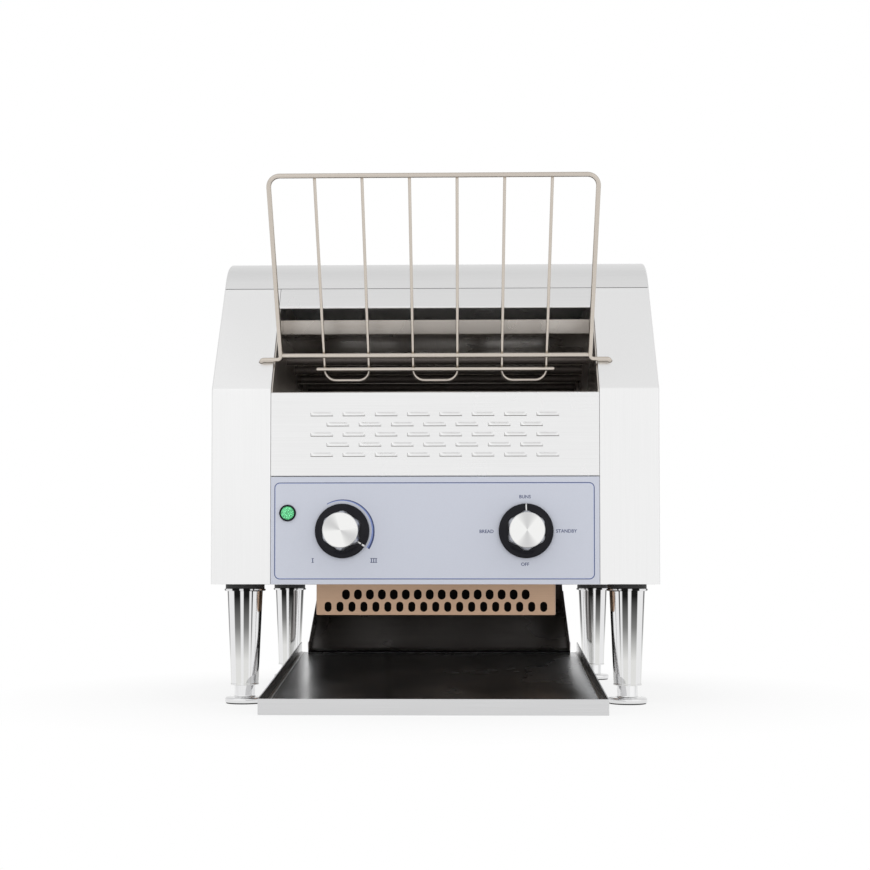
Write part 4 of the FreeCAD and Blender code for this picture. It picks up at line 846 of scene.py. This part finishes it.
# %% [markdown]
# The feed rack leans over the mouth. One thick wire makes its frame and the pegs that hook
# into the covers, a cross wire closes it below, and three thin loops carry the slices.

# %% The feed rack
SLOPE, LEAN = math.radians(58.0), math.radians(31.4)
RACK_WIRE, RACK_THIN, LOOP_PITCH = 1.9, 1.25, 37.1
RACK_HALF, RACK_TOP, LOOP_TOP, EAR, PEG = 128.5, 152.55, 152.3, 18.5, 8.0
HOLE_UP, HOLE_STAND, SLOPE_FOOT = 30, 2.05, 260.5


def rack_point(x, up, behind=0.0):
    """A place on the leaning rack: across, up its plane from the ears, and behind the plane."""
    y = (HOLE_UP * math.cos(SLOPE) - HOLE_STAND * math.sin(SLOPE)
         - up * math.sin(LEAN) + behind * math.cos(LEAN))
    z = (SLOPE_FOOT + HOLE_UP * math.sin(SLOPE) + HOLE_STAND * math.cos(SLOPE)
         + up * math.cos(LEAN) + behind * math.sin(LEAN))
    return place_mm(x, y, z)


peg = PEG * np.array((0, math.sin(SLOPE), -math.cos(SLOPE)))
tip = RACK_HALF + EAR - RACK_WIRE
outline = [rack_point(-tip, 0) + peg, rack_point(-tip, 0), rack_point(-RACK_HALF, 0),
           rack_point(-RACK_HALF, RACK_TOP), rack_point(RACK_HALF, RACK_TOP), rack_point(RACK_HALF, 0),
           rack_point(tip, 0), rack_point(tip, 0) + peg]
cross = np.array([rack_point(x, 3.6) for x in (-127.2, 0, 127.2)])
thick = [wire_mesh("frame_wire", bend_path(outline, [2.5, 3.0, 9.0, 9.0, 3.0, 2.5], 10), RACK_WIRE, 16),
         wire_mesh("cross_wire", cross, RACK_WIRE, 16, False)]
placed("rack_frame_wire", thick, steel["wire"], "rack", ("rack_frame",), 50.0)
thin = []
behind = RACK_WIRE + RACK_THIN
for pair in (-1, 0, 1):
    left, right = (2 * pair - 0.5) * LOOP_PITCH, (2 * pair + 0.5) * LOOP_PITCH
    loop = [rack_point(left, LOOP_TOP, behind), rack_point(left, -20, behind),
            rack_point(right, -20, behind), rack_point(right, LOOP_TOP, behind)]
    thin.append(wire_mesh("loop_wire", bend_path(loop, 9.0, 10), RACK_THIN, 12))
lower = np.array([rack_point(x, -8.6) for x in (-98.5, 0, 98.5)])
thin.append(wire_mesh("lower_wire", lower, RACK_WIRE * 0.85, 14))
placed("rack_thin_wire", thin, steel["wire"], "rack", ("rack_wires",), 50.0)
print("rack bent:", len(thick) + len(thin), "wires")

# %% [markdown]
# ## The wire belt
# Each strand is one wire bent into square waves and hooked over the next strand. Its place
# and lean follow the belt line: two straight runs and a half turn round each sprocket.

# %% Belt strands
PITCH, TEETH, STRANDS = 21.2, 5, 30
IDLER_Y, SHAFT_Z = 34.0, 221.0
SPAN = (STRANDS - TEETH) * PITCH / 2
BELT_R = PITCH / 2 / math.sin(math.pi / TEETH)


def belt_pin(step):
    """The belt line's (y, z) a number of pitches on from the idler's top."""
    run, step = SPAN / PITCH, step % STRANDS
    turn = 2 * math.pi / TEETH
    if step < run:
        return IDLER_Y + step * PITCH, SHAFT_Z + BELT_R
    if step < run + TEETH / 2:
        angle = math.pi / 2 - (step - run) * turn
        return IDLER_Y + SPAN + BELT_R * math.cos(angle), SHAFT_Z + BELT_R * math.sin(angle)
    if step < 2 * run + TEETH / 2:
        return IDLER_Y + SPAN - (step - run - TEETH / 2) * PITCH, SHAFT_Z - BELT_R
    angle = -math.pi / 2 - (step - 2 * run - TEETH / 2) * turn
    return IDLER_Y + BELT_R * math.cos(angle), SHAFT_Z + BELT_R * math.sin(angle)


HOOK, STRAND_WIRE, STRAND_STEP = PITCH + 3.4, 0.85, 1.72
wave = [(-125, 0), (-71, 0), (-71, HOOK), (-27, HOOK), (-27, 0), (27, 0), (27, HOOK), (71, HOOK), (71, 0),
        (125, 0)]
strands = []
for k in range(STRANDS):
    here, ahead = belt_pin(k), belt_pin(k + 1)
    lean = math.atan2(ahead[1] - here[1], ahead[0] - here[0]) + math.asin(STRAND_STEP / PITCH)
    corners = [place_mm(x, here[0] + s * math.cos(lean), here[1] + s * math.sin(lean)) for x, s in wave]
    strands.append(wire_mesh("strand", bend_path(corners, 2.0, 5), STRAND_WIRE, 8))
belt = placed("belt_strands", strands, steel["belt"], "body", ("conveyor_belt",), 50.0)
print("belt strands:", len(belt.data.polygons), "faces")

# %% [markdown]
# ## Heating rods
# Sheathed rods, dull and dark from the heat. They are plain rounds with flat ends,
# which sit in the ceramic caps.

# %% Heating rods
ROD_HALF, ROD_RADIUS, UPPER_Z = 134.9, 3.95, 300.0
upper = [(y, UPPER_Z) for y in np.linspace(95, 260, 4)]
lower = [(y, SHAFT_Z) for y in np.linspace(110, 245, 3)]
for name, places, node in (("upper_rods", upper, "upper_heaters"), ("lower_rods", lower, "lower_heaters")):
    rods = [wire_mesh("rod", np.array([place_mm(x, y, z) for x in (-ROD_HALF, 0, ROD_HALF)]), ROD_RADIUS, 20,
                      False) for y, z in places]
    placed(name, rods, steel["heater"], "body", (node,), 50.0)
print(len(upper) + len(lower), "rods placed")

# %% [markdown]
# ## The punched guard
# A shallow box under the floor with two rows of long holes in front. A flat Curve with the
# holes as inner splines is filled and extruded by Blender, which gives clean round ends.


# %% Punched guard
def punched_sheet(name, outline, holes, thickness):
    """A flat filled curve with holes, as a mesh in the X-Y plane, centred in thickness."""
    curve = bpy.data.curves.new(name, "CURVE")
    curve.dimensions = "2D"
    curve.fill_mode = "BOTH"
    curve.extrude = thickness / 2 * MM
    for points in [outline] + holes:
        spline = curve.splines.new("POLY")
        spline.points.add(len(points) - 1)
        flat = np.zeros((len(points), 4))
        flat[:, :2] = np.array(points) * MM
        flat[:, 3] = 1
        spline.points.foreach_set("co", flat.ravel())
        spline.use_cyclic_u = True
    return curve_mesh(name + "_curve", curve)


def long_hole(x, z, width, height):
    """An upright slot with round ends, as points."""
    turn = np.linspace(0, math.pi, 9)
    rise = (height - width) / 2
    top = list(zip(x + width / 2 * np.cos(turn), z + rise + width / 2 * np.sin(turn)))
    bottom = list(zip(x - width / 2 * np.cos(turn), z - rise - width / 2 * np.sin(turn)))
    return top + bottom


HOLE_PITCH, HOLE_HIGH = 10.15, 8.6
GUARD_HALF, GUARD_FRONT, GUARD_BACK, GUARD_SHEET = 101.5, 40, 155, 1.0
GUARD_LOW, GUARD_TOP = 74.0, 100
holes = [long_hole((k - 7.5) * HOLE_PITCH, 91.4, 6.7, HOLE_HIGH) for k in range(16)]
holes += [long_hole((k - 9) * HOLE_PITCH, 81.0, 6.0, HOLE_HIGH) for k in range(19)]
front_wall = punched_sheet("guard_front", [(-100.5, 74.2), (100.5, 74.2), (100.5, GUARD_TOP),
                                           (-100.5, GUARD_TOP)], holes, GUARD_SHEET)
wall_middle = np.array(place_mm(0, GUARD_FRONT + GUARD_SHEET / 2, 0))
front_wall.transform(Matrix.Translation(wall_middle * MM) @ UPRIGHT)


def guard_ring(inset, z):
    """One level of the guard's side walls: a box with round corners, at a height."""
    points = round_box(-GUARD_HALF + inset, GUARD_HALF - inset, GUARD_FRONT + inset, GUARD_BACK - inset,
                       3.0 - inset)
    return [place_mm(x, y, z) for x, y in points]


walls = np.array([guard_ring(inset, z) for inset, z in (
    (0.0, GUARD_TOP), (0.0, 75.0), (0.3, 74.3), (GUARD_SHEET, GUARD_LOW), (GUARD_SHEET, 75.0),
    (GUARD_SHEET, GUARD_TOP))])
mesh = grid_mesh("guard_walls", walls * MM, close_v=True)
# The punched sheet is the front wall, so the ring's own front goes.
keep_y = GUARD_FRONT + 3.2 + FRONT / MM
work = bmesh.new()
work.from_mesh(mesh)
doomed = [f for f in work.faces if all(v.co.y < keep_y * MM for v in f.verts)
          and abs(f.calc_center_median().x) < 97 * MM and f.calc_center_median().z > 74.9 * MM]
bmesh.ops.delete(work, geom=doomed, context="FACES")
work.to_mesh(mesh)
work.free()
guard_floor = punched_sheet("guard_floor", round_box(-100.6, 100.6, 40.9, 154.1, 2.1), [], GUARD_SHEET)
guard_floor.transform(Matrix.Translation((0, FRONT, (GUARD_LOW + GUARD_SHEET / 2) * MM)))
guard = placed("guard_punched", [front_wall, mesh, guard_floor], steel["guard"], "body",
               ("perforated_guard",), 40.0)
print("guard:", len(guard.data.polygons), "faces")

# %% [markdown]
# The chamber behind the guard's holes and the chute's lip show dark from shade. Both are
# painted shade: plain black strips, since only their darkness shows.

# %% Painted shade behind the guard's holes and along the chute's lip
corners = [(-99.5, 42.5), (99.5, 42.5), (99.5, 43.3), (-99.5, 43.3)]
grid = np.array([[place_mm(x, y, z) for z in (75.2, 99.8)] for x, y in corners])
placed("guard_painted_shade", grid_mesh("guard_painted_shade", grid * MM, close_u=True), painted_shade_black, "body",
       (), 30.0)
section = [(204.3, 34.28), (205.1, 34.28), (205.1, 36.05), (204.3, 36.05)]
grid = np.array([[place_mm(x, y, z) for y, z in section] for x in (-126.8, 126.8)])
placed("chute_lip_painted_shade", grid_mesh("chute_lip_painted_shade", grid * MM, close_v=True, caps=True), painted_shade_black, "body",
       (), 30.0)
print("guard lining and lip trim placed")

# %% [markdown]
# ## Screws and the cord gland
# The rear panel's screws are pan heads. Their cross recess is painted shade: two dark flat bars in
# front of each head. The gland is a ribbed rubber bush. No cord is fitted.

# %% Screws and gland
HALF_WIDTH, COVER_SHEET, BODY_DEPTH, BODY_LOW, SEAM = 184, 1.2, 354, 101.5, 356.9
SCREW_IN, SCREW_END, HEAD_RADIUS, RECESS_SHADE_RISE = 7, 24, 3.8, 2.13
screw_places = [place_mm(side * (HALF_WIDTH - COVER_SHEET - SCREW_IN), BODY_DEPTH, z) for side in (-1, 1)
                for z in np.linspace(BODY_LOW + SCREW_END, SEAM - SCREW_END, 3)]
pan = [(0, 0), (HEAD_RADIUS, 0)] + [(HEAD_RADIUS * math.cos(a), 0.6 + 1.5 * math.sin(a))
                                    for a in np.linspace(0, math.pi / 2, 9)]
placed("rear_screw_heads", [spun_mesh("head", pan, spot, BACK, 32) for spot in screw_places], steel["chrome"],
       "body", ("rear_panel_screws",), 40.0)
recess_shade_bars = [flat_box(x - wide / 2, x + wide / 2, z - tall / 2, z + tall / 2, y + RECESS_SHADE_RISE)
         for x, y, z in screw_places for wide, tall in ((4.2, 0.8), (0.8, 4.2))]
flat_piece("rear_screw_recess_shade", joined(recess_shade_bars, "rear_screw_recess_shade"), black_matte, "body", 1)
ribs = [(4.2, -12), (9.0, -12), (9.0, 0), (12.0, 0), (12.0, 3.0), (9.2, 3.6)]
for k in range(4):
    thick, high = 9.0 - 0.55 * k, 4.4 + 2.3 * k
    ribs += [(thick, high), (thick - 0.8, high + 0.6), (thick - 0.8, high + 1.2)]
ribs += [(6.6, 13.6), (6.2, 14.0), (4.2, 14.0), (4.2, -12)]
turned_piece("cord_gland_bush", rounded(ribs, 0.3), place_mm(-150, BODY_DEPTH, 128), BACK, "body", rubber_and_painted_shade,
             ("cable_gland",))
print("rear details placed")

# %% [markdown]
# ## Floor, light and camera
# A white floor keeps the object's shadow and blends into a white surround. The world is
# white to the camera and a little darker overhead and behind in reflections. Three large
# soft lamps stand in front on both sides and behind.


# %% Floor
WHITE = (1, 1, 1, 1)


def floor_finish():
    """Diffuse white, and for camera and glossy rays also a glow that grows away from the middle."""
    material = bpy.data.materials.new("studio_floor")
    material.use_nodes = True
    tree = Tree(material.node_tree)
    tree.nodes.clear()
    glow = tree.add("Emission", 0, {"Color": WHITE})
    plain = tree.add("BsdfDiffuse", 0, {"Color": (0.92, 0.92, 0.92, 1)})
    reach = tree.add("VectorMath", "Value", {0: tree.add("TexCoord", "Object")}, operation="LENGTH")
    mixed = tree.mix(tree.span(reach, 0.24, 0.42, 0.80, 1.0), plain, glow)
    path = tree.nodes.new("ShaderNodeLightPath").outputs
    seen = tree.math("MAXIMUM", path["Is Camera Ray"], path["Is Glossy Ray"])
    tree.fill(tree.nodes.new("ShaderNodeOutputMaterial"), {"Surface": tree.mix(seen, plain, mixed)})
    return material


FLOOR_HALF = 9
mesh = bpy.data.meshes.new("studio_floor")
mesh.from_pydata([(FLOOR_HALF * x, FLOOR_HALF * y, 0) for x, y in ((-1, -1), (1, -1), (1, 1), (-1, 1))],
                 [], [(0, 1, 2, 3)])
mesh.materials.append(floor_finish())
into_scene("studio_floor", mesh)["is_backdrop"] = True
print("floor placed")


# %% World
def studio_world():
    """White to the camera, a softer grey as light, and in mirrors dimmer above and behind."""
    world = bpy.data.worlds.new("studio")
    world.use_nodes = True
    tree = Tree(world.node_tree)
    tree.nodes.clear()
    way = tree.add("TexCoord", "Generated")
    above = tree.span(tree.add("SeparateXYZ", "Z", {0: way}), 0.22, 0.85, 1.0, 0.88,
                      interpolation_type="SMOOTHSTEP")
    behind = tree.span(tree.add("SeparateXYZ", "Y", {0: way}), -0.6, 0.6, 1.0, 0.84)
    light, shown, mirrored = (tree.add("Background", 0, {"Color": WHITE, "Strength": strength})
                              for strength in (0.86, 1.0, tree.math("MULTIPLY", above, behind)))
    path = tree.nodes.new("ShaderNodeLightPath").outputs
    through = tree.math("MAXIMUM", path["Is Camera Ray"], path["Is Transmission Ray"])
    gloss = tree.mix(path["Is Glossy Ray"], light, mirrored)
    tree.fill(tree.nodes.new("ShaderNodeOutputWorld"), {"Surface": tree.mix(through, gloss, shown)})
    return world


scene = bpy.context.scene
scene.world = studio_world()
print("world:", scene.world.name)


# %% Lamps
def soft_lamp(name, spot, size, power):
    """A square area lamp that looks at the middle of the body."""
    data = bpy.data.lights.new(name, "AREA")
    data.size = size
    data.energy = power
    lamp = into_scene(name, data)
    lamp.location = spot
    lamp.rotation_euler = (Vector((0, 0, 0.2)) - Vector(spot)).to_track_quat("-Z", "Y").to_euler()


soft_lamp("key", (-1.2, -1.6, 1.7), 2.6, 3.6)
soft_lamp("fill", (1.5, -1.2, 1.1), 2.4, 2.2)
soft_lamp("back", (0.3, 1.6, 1.6), 2.6, 2.2)
scene.view_settings.view_transform = "Standard"
print("lamps set")

# %% [markdown]
# The camera was fitted to corners of the photographed object: its focal length and the row
# of its axis are in the photograph's pixels, and its place and turn are in metres and radians.

# %% Camera at the photograph's place
YAW, PITCH_UP = 0.0196, 0.028
PHOTO_PX, FOCAL_PX, AXIS_ROW, SENSOR = 870, 1348.8, 548.1, 36.0
camera_data = bpy.data.cameras.new("camera")
camera = into_scene("camera", camera_data)
scene.camera = camera
camera_data.sensor_width = SENSOR
camera_data.lens = SENSOR * FOCAL_PX / PHOTO_PX
camera_data.shift_y = (AXIS_ROW - PHOTO_PX / 2) / PHOTO_PX
right = Vector((math.cos(YAW), math.sin(YAW), 0))
level = math.cos(PITCH_UP)
forward = Vector((-math.sin(YAW) * level, math.cos(YAW) * level, math.sin(PITCH_UP)))
up = right.cross(forward)
camera.matrix_world = Matrix.Translation((0.0218, -1.1031 + FRONT, 0.0987)) @ Matrix(
    (right, up, -forward)).transposed().to_4x4()
print("camera at", [round(v, 3) for v in camera.location])

# %% [markdown]
# ## Sizes
# The box of the finished pieces is printed.

# %% Sizes and finish
low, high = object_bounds()
print("visual box:", [round(v, 4) for v in low], [round(v, 4) for v in high])
